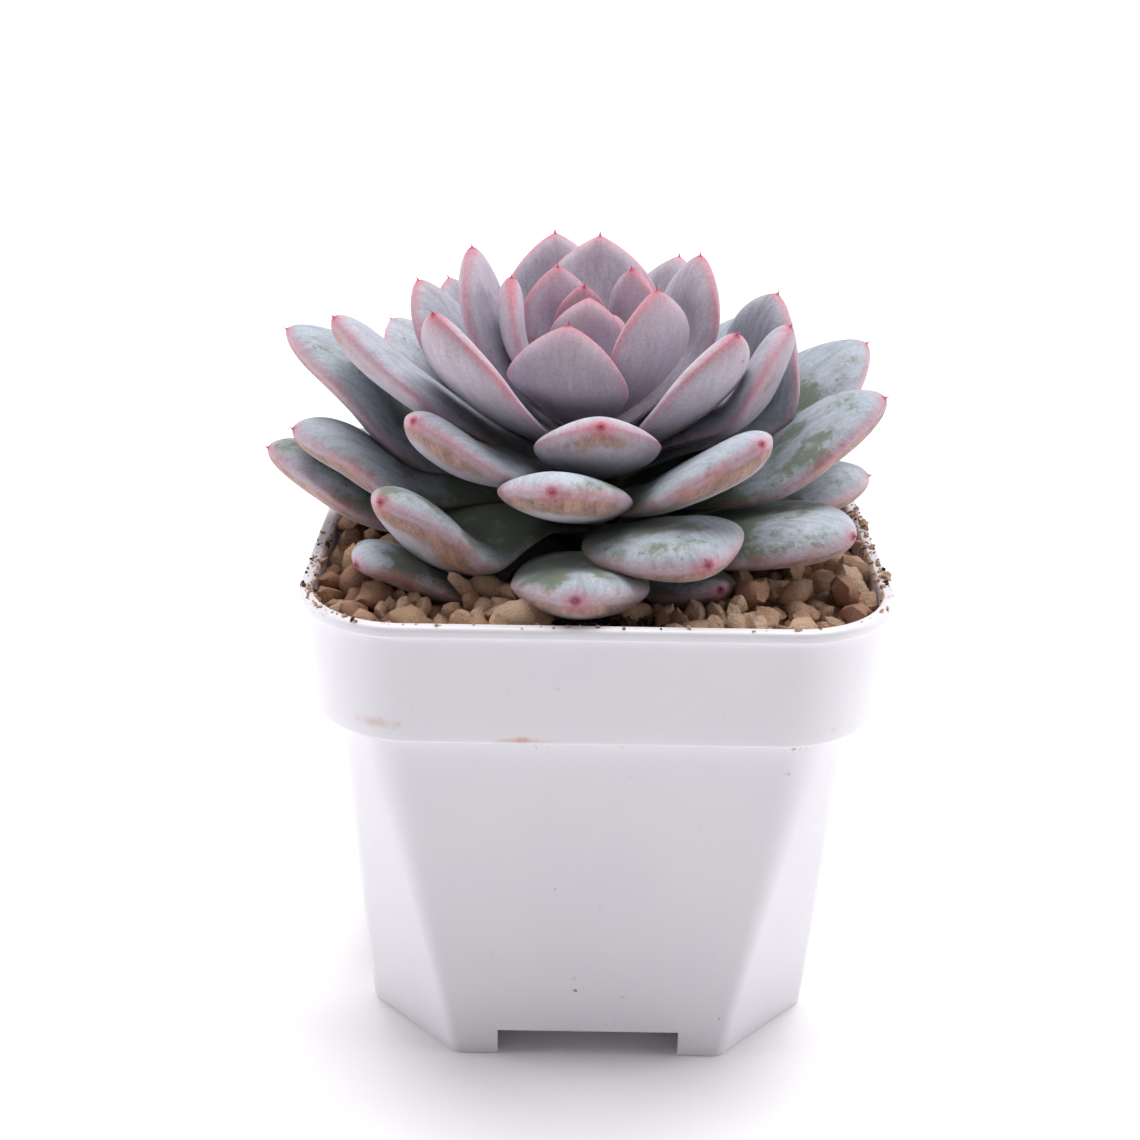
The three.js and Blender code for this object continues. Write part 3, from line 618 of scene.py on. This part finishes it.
def flowing(at, knots, values):
    """A smooth curve through values at knots, read at at: cubic between neighbours, with each knot's
    slope the slope from the knot before it to the knot after it."""
    slopes = np.gradient(values, knots, axis=0)
    cell = np.clip(np.searchsorted(knots, at, side="right") - 1, 0, len(knots) - 2)
    width = (knots[cell + 1] - knots[cell])[:, None]
    t = (at[:, None] - knots[cell][:, None]) / width
    a, b = values[cell], values[cell + 1]
    slope_a, slope_b = slopes[cell] * width, slopes[cell + 1] * width
    return (
        a * (2 * t**3 - 3 * t**2 + 1)
        + slope_a * (t**3 - 2 * t**2 + t)
        + b * (3 * t**2 - 2 * t**3)
        + slope_b * (t**3 - t**2)
    )


def swelling(u, turn, start, rise, bulge, close, point, thorn):
    """Share of a leaf's full width or thickness along its length: up to turn it grows from start to 1
    as a power, rise, of a sine; past turn it closes as (1 - t**bulge)**close, and the last of it is a
    thin thorn that runs out to nothing."""
    grown = start + (1 - start) * np.sin(math.pi / 2 * np.minimum(u / turn, 1)) ** rise
    past = np.clip((u - turn) / (1 - 0.5 * point - turn), 0, 1)
    closed = (1 - past**bulge) ** close
    return np.where(u <= turn, grown, np.hypot(closed, thorn * np.clip((1 - u) / (1.3 * point), 0, 1)))


def unit(vectors):
    """Each vector divided by its own length."""
    return vectors / np.linalg.norm(vectors, axis=-1, keepdims=True)


leaf_nodes = sorted(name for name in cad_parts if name.startswith("leaf_"))
leaf_faces = []
leaf_corners = []
leaf_chance = np.random.default_rng(11)

wax = bare_material("waxy_leaf_skin")
for leaf_index, leaf_node in enumerate(leaf_nodes):
    rings, joint, tip = leaf_rings(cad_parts[leaf_node].data)
    length = np.linalg.norm(tip - joint)
    point = POINT_LENGTH / length
    ring_middle = (rings[:, 0] + rings[:, 5]) / 2
    ring_across = (rings[:, 0] - rings[:, 5]) / 2
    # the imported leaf's full width and thickness, from what its own two laws give at the widest ring
    station = LEAF_STATIONS[WIDEST_RING : WIDEST_RING + 1]
    ring_share = swelling(station, WIDEST, 0.17, 2, 1.9, 0.72, 0, 0)[0]
    full_share = swelling(station, FULLEST, 0.2, 2.8, 2.8, 0.55, 0, 0)[0]
    half_width = np.linalg.norm(ring_across[WIDEST_RING]) / ring_share
    over = rings[WIDEST_RING, [2, 3]].mean(0) - rings[WIDEST_RING, [7, 8]].mean(0)
    thickness = np.linalg.norm(over) / math.sin(math.radians(72)) / full_share

    body_u = (1 - point) * (1 - (1 - np.linspace(0, 1, LEAF_ALONG)) ** 1.9)
    leaf_u = np.concatenate([body_u, 1 - point * (1 - np.linspace(0.12, 0.97, 8))])
    age = leaf_index / (len(leaf_nodes) - 1)
    midrib = flowing(leaf_u, np.append(LEAF_STATIONS, 1.0), np.concatenate([ring_middle, [tip]]))
    across = unit(flowing(np.minimum(leaf_u, 0.88), LEAF_STATIONS[:8], unit(ring_across)[:8]))
    slope = unit(np.gradient(midrib, leaf_u, axis=0))
    normal = unit(np.cross(slope, across))
    half = half_width * swelling(leaf_u, WIDEST, 0.32, 1.6, 1.9, 0.62 + 0.25 * age, point, 0.06)
    deep = thickness * swelling(leaf_u, FULLEST, 0.34, 2.0, 2.8, 0.55, point, 0.10)
    arch = LEAF_ARCH * max(0.0, 1 - age / 0.6) * np.sin(math.pi * leaf_u)
    midrib = midrib + arch[:, None] * normal

    turn = np.linspace(0, 2 * math.pi, LEAF_ROUND, endpoint=False)[None]
    sine, cosine = np.sin(turn), np.cos(turn)
    share = np.where(sine > 0, UPPER_SHARE, 1 - UPPER_SHARE)
    lens = np.sign(sine) * np.abs(sine) ** (1.2 + 0.1 * age)
    offset_x = half[:, None] * cosine
    offset_z = deep[:, None] * share * lens - CUP * half[:, None] * sine**2
    along_mm = leaf_u[:, None] * length + 0 * offset_x
    waver = lumps(offset_x + 40 * leaf_index, along_mm, 5.5, 5) * np.sqrt(half / half_width)[:, None]
    offset_z = offset_z + 0.13 * waver * np.sign(sine) * np.minimum(1, deep[:, None])
    surface = midrib[:, None] + offset_x[..., None] * across[:, None] + offset_z[..., None] * normal[:, None]
    leaf = closed_shell(leaf_node + "_flesh", surface, last=tip)

    margin_mm = np.hypot(half[:, None] * (1 - np.abs(cosine)), offset_z)
    tip_mm = np.linalg.norm(surface - tip, axis=2)
    facts = {
        "along": leaf_u[:, None] + 0 * offset_x,
        "margin_mm": margin_mm,
        "tip_mm": tip_mm,
        "upper": np.broadcast_to(sine, offset_x.shape),
        "age": np.full(offset_x.shape, age),
        "luck": np.full(offset_x.shape, leaf_chance.uniform()),
    }
    for fact, values in facts.items():
        ends = np.array([values[0].mean(), 0.0 if fact == "tip_mm" else values[-1].mean()])
        all_values = np.append(values.ravel(), ends)
        leaf.data.attributes.new(fact, "FLOAT", "POINT").data.foreach_set("value", all_values)
    # upper and lower faces, and each leaf, read the wear pattern in a part of their own
    own_part = np.where(sine > 0, 0, 50) + 90 * leaf_index + 0 * offset_x
    lie = np.dstack([offset_x, along_mm, own_part]).reshape(-1, 3)
    lie = np.concatenate([lie, lie[:1], lie[-1:]])
    leaf.data.attributes.new("lie", "FLOAT_VECTOR", "POINT").data.foreach_set("vector", lie.ravel())
    leaf.data.materials.append(wax)
    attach(leaf, "root")
    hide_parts(leaf_node)
    start = sum(len(c) for c in leaf_corners)
    leaf_corners.append(np.concatenate([surface.reshape(-1, 3), [joint], [tip]]))
    leaf_faces += [[start + k for k in face.vertices] for face in leaf.data.polygons]

# Leaf skin under a bloom of wax powder: the powder is pale blue-lilac and quite matt; where it has
# rubbed off, the skin is greener, darker and glossier. The same darker green is also painted shade
# towards each joint and on the oldest, lowest leaves, and the leaves' ends are painted paler as a
# highlight. Sun has turned the margins pink and the points crimson, and handling has scuffed the
# outer faces of the old leaves down to a dry tan.
tree = wax.node_tree
place = add(tree, "TexCoord").node.outputs["Object"]
along = add(tree, "Attribute", attribute_name="along").node.outputs["Fac"]
margin = add(tree, "Attribute", attribute_name="margin_mm").node.outputs["Fac"]
tip_far = add(tree, "Attribute", attribute_name="tip_mm").node.outputs["Fac"]
upper = add(tree, "Attribute", attribute_name="upper").node.outputs["Fac"]
age = add(tree, "Attribute", attribute_name="age").node.outputs["Fac"]
luck = add(tree, "Attribute", attribute_name="luck").node.outputs["Fac"]
lie = add(tree, "Attribute", attribute_name="lie").node.outputs["Vector"]

# flesh and bloom, both warmer in the heart; the bloom is patchy, and each leaf is painted paler towards its
# end as a painted highlight
youth = add(tree, "MapRange", {"Value": age, "From Min": 0.45, "From Max": 0.95})
grain = add(tree, "TexNoise", {"Vector": place, "Scale": 1 / (0.45 * MM), "Detail": 3.0, "Roughness": 0.7})
patch = add(tree, "TexNoise", {"Vector": place, "Scale": 1 / (10 * MM), "Detail": 5.0, "Roughness": 0.68})
streak_lie = add(tree, "Mapping", {"Vector": lie, "Scale": (1 / 1.3, 1 / 5.0, 1.0)})
streak = add(tree, "TexNoise", {"Vector": streak_lie, "Scale": 1.0, "Detail": 5.0, "Roughness": 0.72})
flesh = add(tree, "MixRGB", {"Fac": youth, "Color1": linear("#6f7b62"), "Color2": linear("#b0949a")})
dull_bloom = add(tree, "MixRGB", {"Fac": youth, "Color1": linear("#828f92"), "Color2": linear("#c6b9c8")})
pale_bloom = add(tree, "MixRGB", {"Fac": youth, "Color1": linear("#bac3cf"), "Color2": linear("#dfd8e8")})
# painted highlight: the share along the leaf lifts the pale bloom towards the leaf's end, on top of its
# patchy streaks
bloom_highlight_sum = add(tree, "Math", {0: along, 1: 0.35, 2: streak}, operation="MULTIPLY_ADD")
bloom_highlight_all = add(tree, "Math", {0: luck, 1: 0.08, 2: bloom_highlight_sum}, operation="MULTIPLY_ADD")
bloom_and_highlight = add(tree, "MapRange", {"Value": bloom_highlight_all, "From Min": 0.55, "From Max": 0.92})
bloom = add(tree, "MixRGB", {"Fac": bloom_and_highlight, "Color1": dull_bloom, "Color2": pale_bloom})

# where it has rubbed off, in patches with a grainy edge on the older leaves; towards the joint, and on
# the oldest leaves, the darker green is partly rubbed skin and partly painted shade
bare_and_shade_sum = add(tree, "Math", {0: streak, 1: 0.5}, operation="MULTIPLY")
bare_and_shade_sum = add(tree, "Math", {0: patch, 1: 1.8, 2: bare_and_shade_sum}, operation="MULTIPLY_ADD")
bare_and_shade_sum = add(tree, "Math", {0: grain, 1: 0.35, 2: bare_and_shade_sum}, operation="MULTIPLY_ADD")
# painted shade: greener and darker towards the joint, where the leaves overlap and shade one another
joint_shade_and_bare = add(
    tree, "MapRange", {"Value": along, "From Min": 0.15, "From Max": 0.85, "To Min": 0.34, "To Max": -0.10}
)
old_bare = add(
    tree, "MapRange", {"Value": age, "From Min": 0.3, "From Max": 0.62, "To Min": 0.0, "To Max": -0.32}
)
bare_and_shade_sum = add(tree, "Math", {0: bare_and_shade_sum, 1: joint_shade_and_bare}, operation="ADD")
bare_and_shade_sum = add(tree, "Math", {0: bare_and_shade_sum, 1: old_bare}, operation="ADD")
# painted shade: the oldest, lowest leaves are made greener and darker, partly for wear and partly for the
# shade they lie in
oldest_shade_and_bare = add(
    tree, "MapRange", {"Value": age, "From Min": 0.0, "From Max": 0.2, "To Min": 0.16, "To Max": 0.0}
)
bare_and_shade_sum = add(tree, "Math", {0: bare_and_shade_sum, 1: oldest_shade_and_bare}, operation="ADD")
bare_and_shade_sum = add(tree, "Math", {0: luck, 1: 0.12, 2: bare_and_shade_sum}, operation="MULTIPLY_ADD")
bare_and_shade = add(
    tree, "MapRange", {"Value": bare_and_shade_sum, "From Min": 1.34, "From Max": 1.50, "To Min": 0.05, "To Max": 0.88}
)
skin = add(tree, "MixRGB", {"Fac": bare_and_shade, "Color1": bloom, "Color2": flesh})

# the outer, lower face is pinker, and worn to tan scuffs in a band under its margin
under = add(
    tree, "MapRange", {"Value": upper, "From Min": -0.12, "From Max": 0.02, "To Min": 1.0, "To Max": 0.0}
)
under_share = add(tree, "Math", {0: under, 1: 0.4}, operation="MULTIPLY")
skin = add(tree, "MixRGB", {"Fac": under_share, "Color1": skin, "Color2": linear("#a58b96")})
band_in = add(tree, "MapRange", {"Value": margin, "From Min": 0.1, "From Max": 2.0})
band_out = add(
    tree, "MapRange", {"Value": margin, "From Min": 2.4, "From Max": 7.5, "To Min": 1.0, "To Max": 0.0}
)
far_end = add(tree, "MapRange", {"Value": along, "From Min": 0.5, "From Max": 0.78})
worn_age = add(
    tree, "MapRange", {"Value": age, "From Min": 0.35, "From Max": 0.72, "To Min": 1.0, "To Max": 0.12}
)
worn = under
for part in (band_in, band_out, far_end, worn_age):
    worn = add(tree, "Math", {0: worn, 1: part}, operation="MULTIPLY")
fray = add(tree, "Math", {0: streak, 1: 1.5}, operation="MULTIPLY")
fray = add(tree, "Math", {0: patch, 1: 2.0, 2: fray}, operation="MULTIPLY_ADD")
fray = add(tree, "Math", {0: grain, 1: 0.9, 2: fray}, operation="MULTIPLY_ADD")
fray_sum = add(tree, "Math", {0: worn, 1: fray}, operation="ADD")
scuff = add(tree, "MapRange", {"Value": fray_sum, "From Min": 2.50, "From Max": 2.76, "To Max": 0.88})
worn_at_all = add(tree, "MapRange", {"Value": worn, "From Min": 0.08, "From Max": 0.3})
scuff = add(tree, "Math", {0: scuff, 1: worn_at_all}, operation="MULTIPLY")
scuff_fibre = add(tree, "MapRange", {"Value": streak, "From Min": 0.36, "From Max": 0.62})
scuff_dust = add(
    tree, "MapRange", {"Value": grain, "From Min": 0.42, "From Max": 0.66, "To Min": 1.0, "To Max": 0.78}
)
scuff = add(tree, "Math", {0: scuff, 1: scuff_dust}, operation="MULTIPLY")
scuff_tone = add(
    tree, "MixRGB", {"Fac": scuff_fibre, "Color1": linear("#6e4d40"), "Color2": linear("#b58b76")}
)
skin = add(tree, "MixRGB", {"Fac": scuff, "Color1": skin, "Color2": scuff_tone})

# pink margins and the crimson point with its halo
pink_reach = add(
    tree,
    "MapRange",
    {"Value": margin, "From Min": 0.0, "From Max": 2.0, "To Min": 0.64, "To Max": 0.0},
    interpolation_type="SMOOTHSTEP",
)
pink_age = add(
    tree, "MapRange", {"Value": age, "From Min": 0.1, "From Max": 0.8, "To Min": 0.5, "To Max": 1.0}
)
flush_near = add(
    tree, "MapRange", {"Value": tip_far, "From Min": 1.0, "From Max": 8.0, "To Min": 0.38, "To Max": 0.0}
)
flush = add(tree, "Math", {0: flush_near, 1: youth}, operation="MULTIPLY")
pink_end = add(tree, "MapRange", {"Value": along, "From Min": 0.3, "From Max": 0.7})
pink = add(tree, "Math", {0: pink_reach, 1: pink_age}, operation="MULTIPLY")
pink = add(tree, "Math", {0: pink, 1: pink_end}, operation="MULTIPLY")
pink_blush = add(
    tree, "MapRange", {"Value": patch, "From Min": 0.35, "From Max": 0.65, "To Min": 0.5, "To Max": 1.25}
)
pink = add(tree, "Math", {0: pink, 1: pink_blush, 2: flush}, operation="MULTIPLY_ADD")
skin = add(tree, "MixRGB", {"Fac": pink, "Color1": skin, "Color2": linear("#cf8390")})
halo_far = add(tree, "Math", {0: streak, 1: 1.6, 2: tip_far}, operation="MULTIPLY_ADD")
halo = add(
    tree, "MapRange", {"Value": halo_far, "From Min": 1.3, "From Max": 3.9, "To Min": 0.5, "To Max": 0.0}
)
skin = add(tree, "MixRGB", {"Fac": halo, "Color1": skin, "Color2": linear("#c9607a")})
core = add(
    tree, "MapRange", {"Value": tip_far, "From Min": 0.7, "From Max": 1.4, "To Min": 0.95, "To Max": 0.0}
)
core_tone = add(tree, "MixRGB", {"Fac": age, "Color1": linear("#6f1230"), "Color2": linear("#c02a50")})
skin = add(tree, "MixRGB", {"Fac": core, "Color1": skin, "Color2": core_tone})

# powder grain, a few pinprick scars, and the gloss of bare skin
powder_tone = add(
    tree, "MapRange", {"Value": grain, "From Min": 0.3, "From Max": 0.7, "To Min": 0.84, "To Max": 1.12}
)
skin = add(tree, "VectorMath", {0: skin, "Scale": powder_tone}, operation="SCALE")
scar_cell = add(tree, "TexVoronoi", {"Vector": place, "Scale": 1 / (7 * MM)})
scar = add(
    tree, "MapRange", {"Value": scar_cell, "From Min": 0.025, "From Max": 0.05, "To Min": 0.6, "To Max": 0.0}
)
skin = add(tree, "MixRGB", {"Fac": scar, "Color1": skin, "Color2": linear("#6b4a44")})
relief_sum = add(tree, "Math", {0: grain, 1: 0.5, 2: streak}, operation="MULTIPLY_ADD")
leaf_relief = add(tree, "Bump", {"Height": relief_sum, "Strength": 0.25, "Distance": 0.12 * MM})
leaf_gloss = add(tree, "MapRange", {"Value": bare_and_shade, "To Min": 0.62, "To Max": 0.42})
leaf_skin = add(
    tree,
    "BsdfPrincipled",
    {
        "Base Color": skin,
        "Roughness": leaf_gloss,
        "IOR": 1.45,
        "Specular IOR Level": 0.35,
        "Subsurface Weight": 0.30,
        "Subsurface Radius": (1.0, 0.55, 0.5),
        "Subsurface Scale": 2.4 * MM,
        "Sheen Weight": 0.25,
        "Sheen Roughness": 0.45,
        "Sheen Tint": linear("#e6e9f5"),
        "Normal": leaf_relief,
    },
)
add(tree, "OutputMaterial", {"Surface": leaf_skin})

# ---------------------------------------------------------------- granules
# Baked-clay granules, mostly 3 to 6.5 mm long, poured round the plant as a top dressing one or two deep.
# They are broken and tumbled, so each has a few worn flats; no two are alike.

GRANULE_STEP = 3.1
GRANULE_RADIUS = 1.55  # before a stone's own stretch
GRANULE_FREE = 20.0  # nothing is poured this near the stem, under the leaves
MOUTH_HALF = BAND_HALF_TOP - POT_WALL
SETTLE_ROUNDS = 40

stone_chance = np.random.default_rng(23)


def round_directions(rings_of_faces):
    """Points and faces of a ball of triangles of near equal size."""
    ball = bmesh.new()
    bmesh.ops.create_icosphere(ball, subdivisions=rings_of_faces, radius=1)
    points = np.array([v.co[:] for v in ball.verts])
    faces = np.array([[v.index for v in f.verts] for f in ball.faces])
    ball.free()
    return points, faces


def broken_stones(name, centres, radii, chance, rings_of_faces=2, flatness=20.0):
    """One mesh of many stones. Along a direction, a stone's radius is the reciprocal of a power sum of
    how squarely that direction meets each of twelve random flats, which rounds the edges between them.
    Each is then stretched along its own three axes, turned at random and put in its place."""
    directions, faces = round_directions(rings_of_faces)
    count = len(centres)
    flats = unit(chance.normal(size=(count, 6, 3)))
    flats = np.concatenate([flats, -flats], axis=1)
    reach = chance.uniform(0.66, 1.16, (count, 12, 1))
    facing = np.maximum(np.einsum("vj,npj->npv", directions, flats), 0) / reach
    radius = np.minimum((facing**flatness).sum(1) ** (-1 / flatness), 1.42)
    radius *= 1 + 0.05 * chance.normal(size=radius.shape)
    shape = directions[None] * radius[..., None]
    shape *= (np.array([1.22, 0.95, 0.80]) * chance.uniform(0.86, 1.16, (count, 3)))[:, None]
    four = unit(chance.normal(size=(count, 4)))
    w, x, y, z = four.T
    spin = np.array([
        [1 - 2 * (y * y + z * z), 2 * (x * y - z * w), 2 * (x * z + y * w)],
        [2 * (x * y + z * w), 1 - 2 * (x * x + z * z), 2 * (y * z - x * w)],
        [2 * (x * z - y * w), 2 * (y * z + x * w), 1 - 2 * (x * x + y * y)],
    ]).transpose(2, 0, 1)
    placed = np.einsum("nij,nvj->nvi", spin, shape) * radii[:, None, None] + centres[:, None]
    all_faces = faces[None] + (np.arange(count) * len(directions))[:, None, None]
    mesh = bpy.data.meshes.new(name)
    mesh.from_pydata((placed.reshape(-1, 3) * MM).tolist(), [], all_faces.reshape(-1, 3).tolist())
    mesh.shade_smooth()
    mesh.set_sharp_from_angle(angle=math.radians(48))
    tone = np.repeat(chance.uniform(size=count), len(directions))
    mesh.attributes.new("tone", "FLOAT", "POINT").data.foreach_set("value", tone)
    made = bpy.data.objects.new(name, mesh)
    bpy.context.collection.objects.link(made)
    return made


leaf_tree = BVHTree.FromPolygons(np.concatenate(leaf_corners).tolist(), leaf_faces)


def out_of_leaves(centres, room):
    """Each centre moved straight away from the nearest leaf until it is room clear of its skin, and how
    deep it was in it."""
    found = [leaf_tree.find_nearest(c.tolist()) for c in centres]
    near = np.array([f[0][:] for f in found])
    facing = np.array([f[1][:] for f in found])
    clear = np.einsum("ij,ij->i", centres - near, facing)
    push = np.maximum(room - clear, 0)
    return centres + facing * push[:, None], push


def inside_wall(points):
    """How far points are inside the inner face of the band, in millimetres; below 0 is in the wall."""
    return inside_square(points[:, 0], points[:, 1], MOUTH_HALF, BAND_CORNER - POT_WALL)


spots = []
for layer, (step, lift) in enumerate(((GRANULE_STEP, 1.0), (GRANULE_STEP * 1.04, 3.2))):
    rows = np.arange(-MOUTH_HALF, MOUTH_HALF, step * 0.87)
    grid_y, grid_x = np.meshgrid(rows, np.arange(-MOUTH_HALF, MOUTH_HALF, step), indexing="ij")
    grid_x = grid_x + (np.arange(len(rows)) % 2)[:, None] * step / 2 + layer * step / 3
    scatter = stone_chance.uniform(-0.9, 0.9, (grid_x.size, 2))
    flat = np.column_stack([grid_x.ravel(), grid_y.ravel()]) + scatter + POT_MIDDLE
    spots.append(np.column_stack([flat, soil_height(flat[:, 0], flat[:, 1]) + lift]))
spots = np.concatenate(spots)
stone_radius = np.clip(GRANULE_RADIUS * np.exp(stone_chance.normal(0, 0.27, len(spots))), 0.9, 2.7)
wall_room = inside_wall(spots)
from_stem = np.hypot(spots[:, 0] - STEM_AXIS[0], spots[:, 1] - STEM_AXIS[1])
keep = (wall_room > 0.5) & (from_stem > GRANULE_FREE)
bare_front = np.exp(-(((spots[:, 0] - 4) / 12) ** 4) - (((spots[:, 1] + 36) / 9) ** 4))
bare_left = np.exp(-(((spots[:, 0] + 38) / 5) ** 2) - (((spots[:, 1] - 1) / 8) ** 2))
keep &= stone_chance.uniform(size=len(spots)) > 1.25 * np.maximum(bare_front, bare_left)
spots, stone_radius = spots[keep], stone_radius[keep]
for settle in range(SETTLE_ROUNDS):
    gap = spots[:, None] - spots[None]
    apart = np.linalg.norm(gap, axis=2) + 1e-6
    overlap = np.maximum(0.88 * (stone_radius[:, None] + stone_radius[None]) - apart, 0)
    np.fill_diagonal(overlap, 0)
    spots += 0.25 * (gap / apart[..., None] * overlap[..., None]).sum(1)
    spots[:, 2] -= 0.12
    spots[:, 2] = np.maximum(spots[:, 2], soil_height(spots[:, 0], spots[:, 1]) + 0.55 * stone_radius)
    for wall_pass in range(2):
        short = np.maximum(stone_radius - inside_wall(spots), 0)
        inward = POT_MIDDLE - spots[:, :2]
        spots[:, :2] += unit(inward) * short[:, None] * 1.02
    spots, leaf_push = out_of_leaves(spots, 0.85 * stone_radius)
leaf_push = out_of_leaves(spots, 0.8 * stone_radius)[1]
crowding_limit = 0.45 * (stone_radius[:, None] + stone_radius[None])
crowding = np.linalg.norm(spots[:, None] - spots[None], axis=2) < crowding_limit
crowded = np.triu(crowding, 1).any(0)
wall_room = inside_wall(spots) - 0.8 * stone_radius
settled = (leaf_push < 0.5) & ~crowded & (spots[:, 2] < POT_HEIGHT + 0.6) & (wall_room > 0)
spots, stone_radius = spots[settled], stone_radius[settled]
granules = broken_stones("clay_granules", spots, stone_radius, stone_chance)

# a stone that would reach into the wall lies flat against it instead
stone_points = np.empty(3 * len(granules.data.vertices))
granules.data.vertices.foreach_get("co", stone_points)
stone_points = stone_points.reshape(-1, 3) / MM
into_wall = np.maximum(0.2 - inside_wall(stone_points), 0)
stone_points[:, :2] += unit(POT_MIDDLE - stone_points[:, :2]) * into_wall[:, None] * 1.4
granules.data.vertices.foreach_set("co", (stone_points * MM).ravel())

# Fired clay: dry and quite matt, buff to reddish brown from stone to stone, with open pores.
fired_clay = bare_material("low_fired_clay")
tree = fired_clay.node_tree
place = add(tree, "TexCoord").node.outputs["Object"]
tone = add(tree, "Attribute", attribute_name="tone").node.outputs["Fac"]
tone_curve = add(tree, "MapRange", {"Value": tone, "From Min": 0.72, "From Max": 1.0})
buff = add(tree, "MixRGB", {"Fac": tone, "Color1": linear("#f4d6ba"), "Color2": linear("#e2b795")})
clay_skin = add(tree, "MixRGB", {"Fac": tone_curve, "Color1": buff, "Color2": linear("#b58878")})
mottle = add(tree, "TexNoise", {"Vector": place, "Scale": 1 / (2.2 * MM), "Detail": 5.0, "Roughness": 0.7})
mottle_share = add(tree, "MapRange", {"Value": mottle, "From Min": 0.35, "From Max": 0.72, "To Max": 0.65})
clay_skin = add(tree, "MixRGB", {"Fac": mottle_share, "Color1": clay_skin, "Color2": linear("#cfa283")})
pore_cell = add(tree, "TexVoronoi", {"Vector": place, "Scale": 1 / (0.9 * MM)})
pore = add(
    tree, "MapRange", {"Value": pore_cell, "From Min": 0.08, "From Max": 0.22, "To Min": 0.22, "To Max": 0.0}
)
clay_skin = add(tree, "MixRGB", {"Fac": pore, "Color1": clay_skin, "Color2": linear("#6d4a36")})
grit_noise = add(
    tree, "TexNoise", {"Vector": place, "Scale": 1 / (0.7 * MM), "Detail": 5.0, "Roughness": 0.75}
)
grit_height = add(tree, "Math", {0: grit_noise, 1: pore}, operation="SUBTRACT")
clay_relief = add(tree, "Bump", {"Height": grit_height, "Strength": 1.0, "Distance": 1.1 * MM})
clay_matt = add(
    tree,
    "BsdfPrincipled",
    {"Base Color": clay_skin, "Roughness": 0.92, "Specular IOR Level": 0.2, "Normal": clay_relief},
)
add(tree, "OutputMaterial", {"Surface": clay_matt})
granules.data.materials.append(fired_clay)
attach(granules, "root")
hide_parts("grit_layer")

# ---------------------------------------------------------------- crumbs
# Loose bits left by potting: dark bark and peat crumbs on the bare mix and stuck up the inside of the
# wall, and clay chips and dust along the lip.

crumb_chance = np.random.default_rng(31)
BARK_COUNT = 420
LIP_CRUMB_COUNT = 2200
bark_spread = crumb_chance.normal(size=(BARK_COUNT, 2))
bark_home = np.where(crumb_chance.uniform(size=BARK_COUNT)[:, None] < 0.7, [[8.0, -35.0]], [[-37.0, 1.0]])
bark_width = np.where(bark_home[:, :1] > 0, [[9.0, 4.2]], [[2.4, 5.0]])
bark_flat = bark_home + bark_spread * bark_width
bark_size = np.clip(0.62 * np.exp(crumb_chance.normal(0, 0.45, BARK_COUNT)), 0.25, 1.7)
bark_inside = inside_wall(bark_flat) > bark_size + 0.1
bark_flat, bark_size = bark_flat[bark_inside], bark_size[bark_inside]
bark_spots = np.column_stack([bark_flat, soil_height(bark_flat[:, 0], bark_flat[:, 1]) + 0.4 * bark_size])
bark_clear = out_of_leaves(bark_spots, 0.7 * bark_size)[1] < 0.05
bark_crumbs = broken_stones(
    "bark_crumbs", bark_spots[bark_clear], bark_size[bark_clear], crumb_chance, rings_of_faces=1, flatness=6.0
)
bark_crumbs.data.materials.append(peat)
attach(bark_crumbs, "root")
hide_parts("soil")

lip_line = band_rings([LIP_HALF], [POT_HEIGHT], LIP_THICK / 2)[0, :, :2]
lip_flat = round_outline(lip_line, crumb_chance.uniform(size=LIP_CRUMB_COUNT))
lip_dense = (
    0.06
    + 0.9 * np.exp(-(((lip_flat[:, 0] - 47) / 5) ** 2) - (((lip_flat[:, 1] + 6) / 19) ** 2))
    + 0.6 * np.exp(-(((lip_flat[:, 0] + 38) / 9) ** 2) - (((lip_flat[:, 1] + 27) / 12) ** 2))
    + 0.3 * np.exp(-(((lip_flat[:, 0] + 30) / 20) ** 2) - (((lip_flat[:, 1] - 42) / 8) ** 2))
)
lip_flat = lip_flat[crumb_chance.uniform(size=len(lip_flat)) < lip_dense]
lip_flat = lip_flat + unit(POT_MIDDLE - lip_flat) * crumb_chance.uniform(-0.7, 1.4, (len(lip_flat), 1))
lip_size = np.clip(0.21 * np.exp(crumb_chance.normal(0, 0.5, len(lip_flat))), 0.12, 0.8)
lip_inside = inside_square(lip_flat[:, 0], lip_flat[:, 1], LIP_HALF, BAND_CORNER)
lip_fall = np.clip(LIP_THICK / 2 - lip_inside, -9, 0)
lip_spots = np.column_stack([lip_flat, POT_HEIGHT + 0.3 * lip_size + 0.4 * lip_fall])
lip_dark = crumb_chance.uniform(size=len(lip_flat)) < 0.12
for crumb_name, crumb_kind, crumb_finish, crumb_slot, crumb_node in (
    ("lip_peat_crumbs", lip_dark, peat, "potting_mix", "soil"),
    ("lip_clay_chips", ~lip_dark, fired_clay, "clay_grit", "grit_layer"),
):
    crumbs = broken_stones(
        crumb_name, lip_spots[crumb_kind], lip_size[crumb_kind], crumb_chance, rings_of_faces=1, flatness=6.0
    )
    crumbs.data.materials.append(crumb_finish)
    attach(crumbs, "root")
    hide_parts(crumb_node)
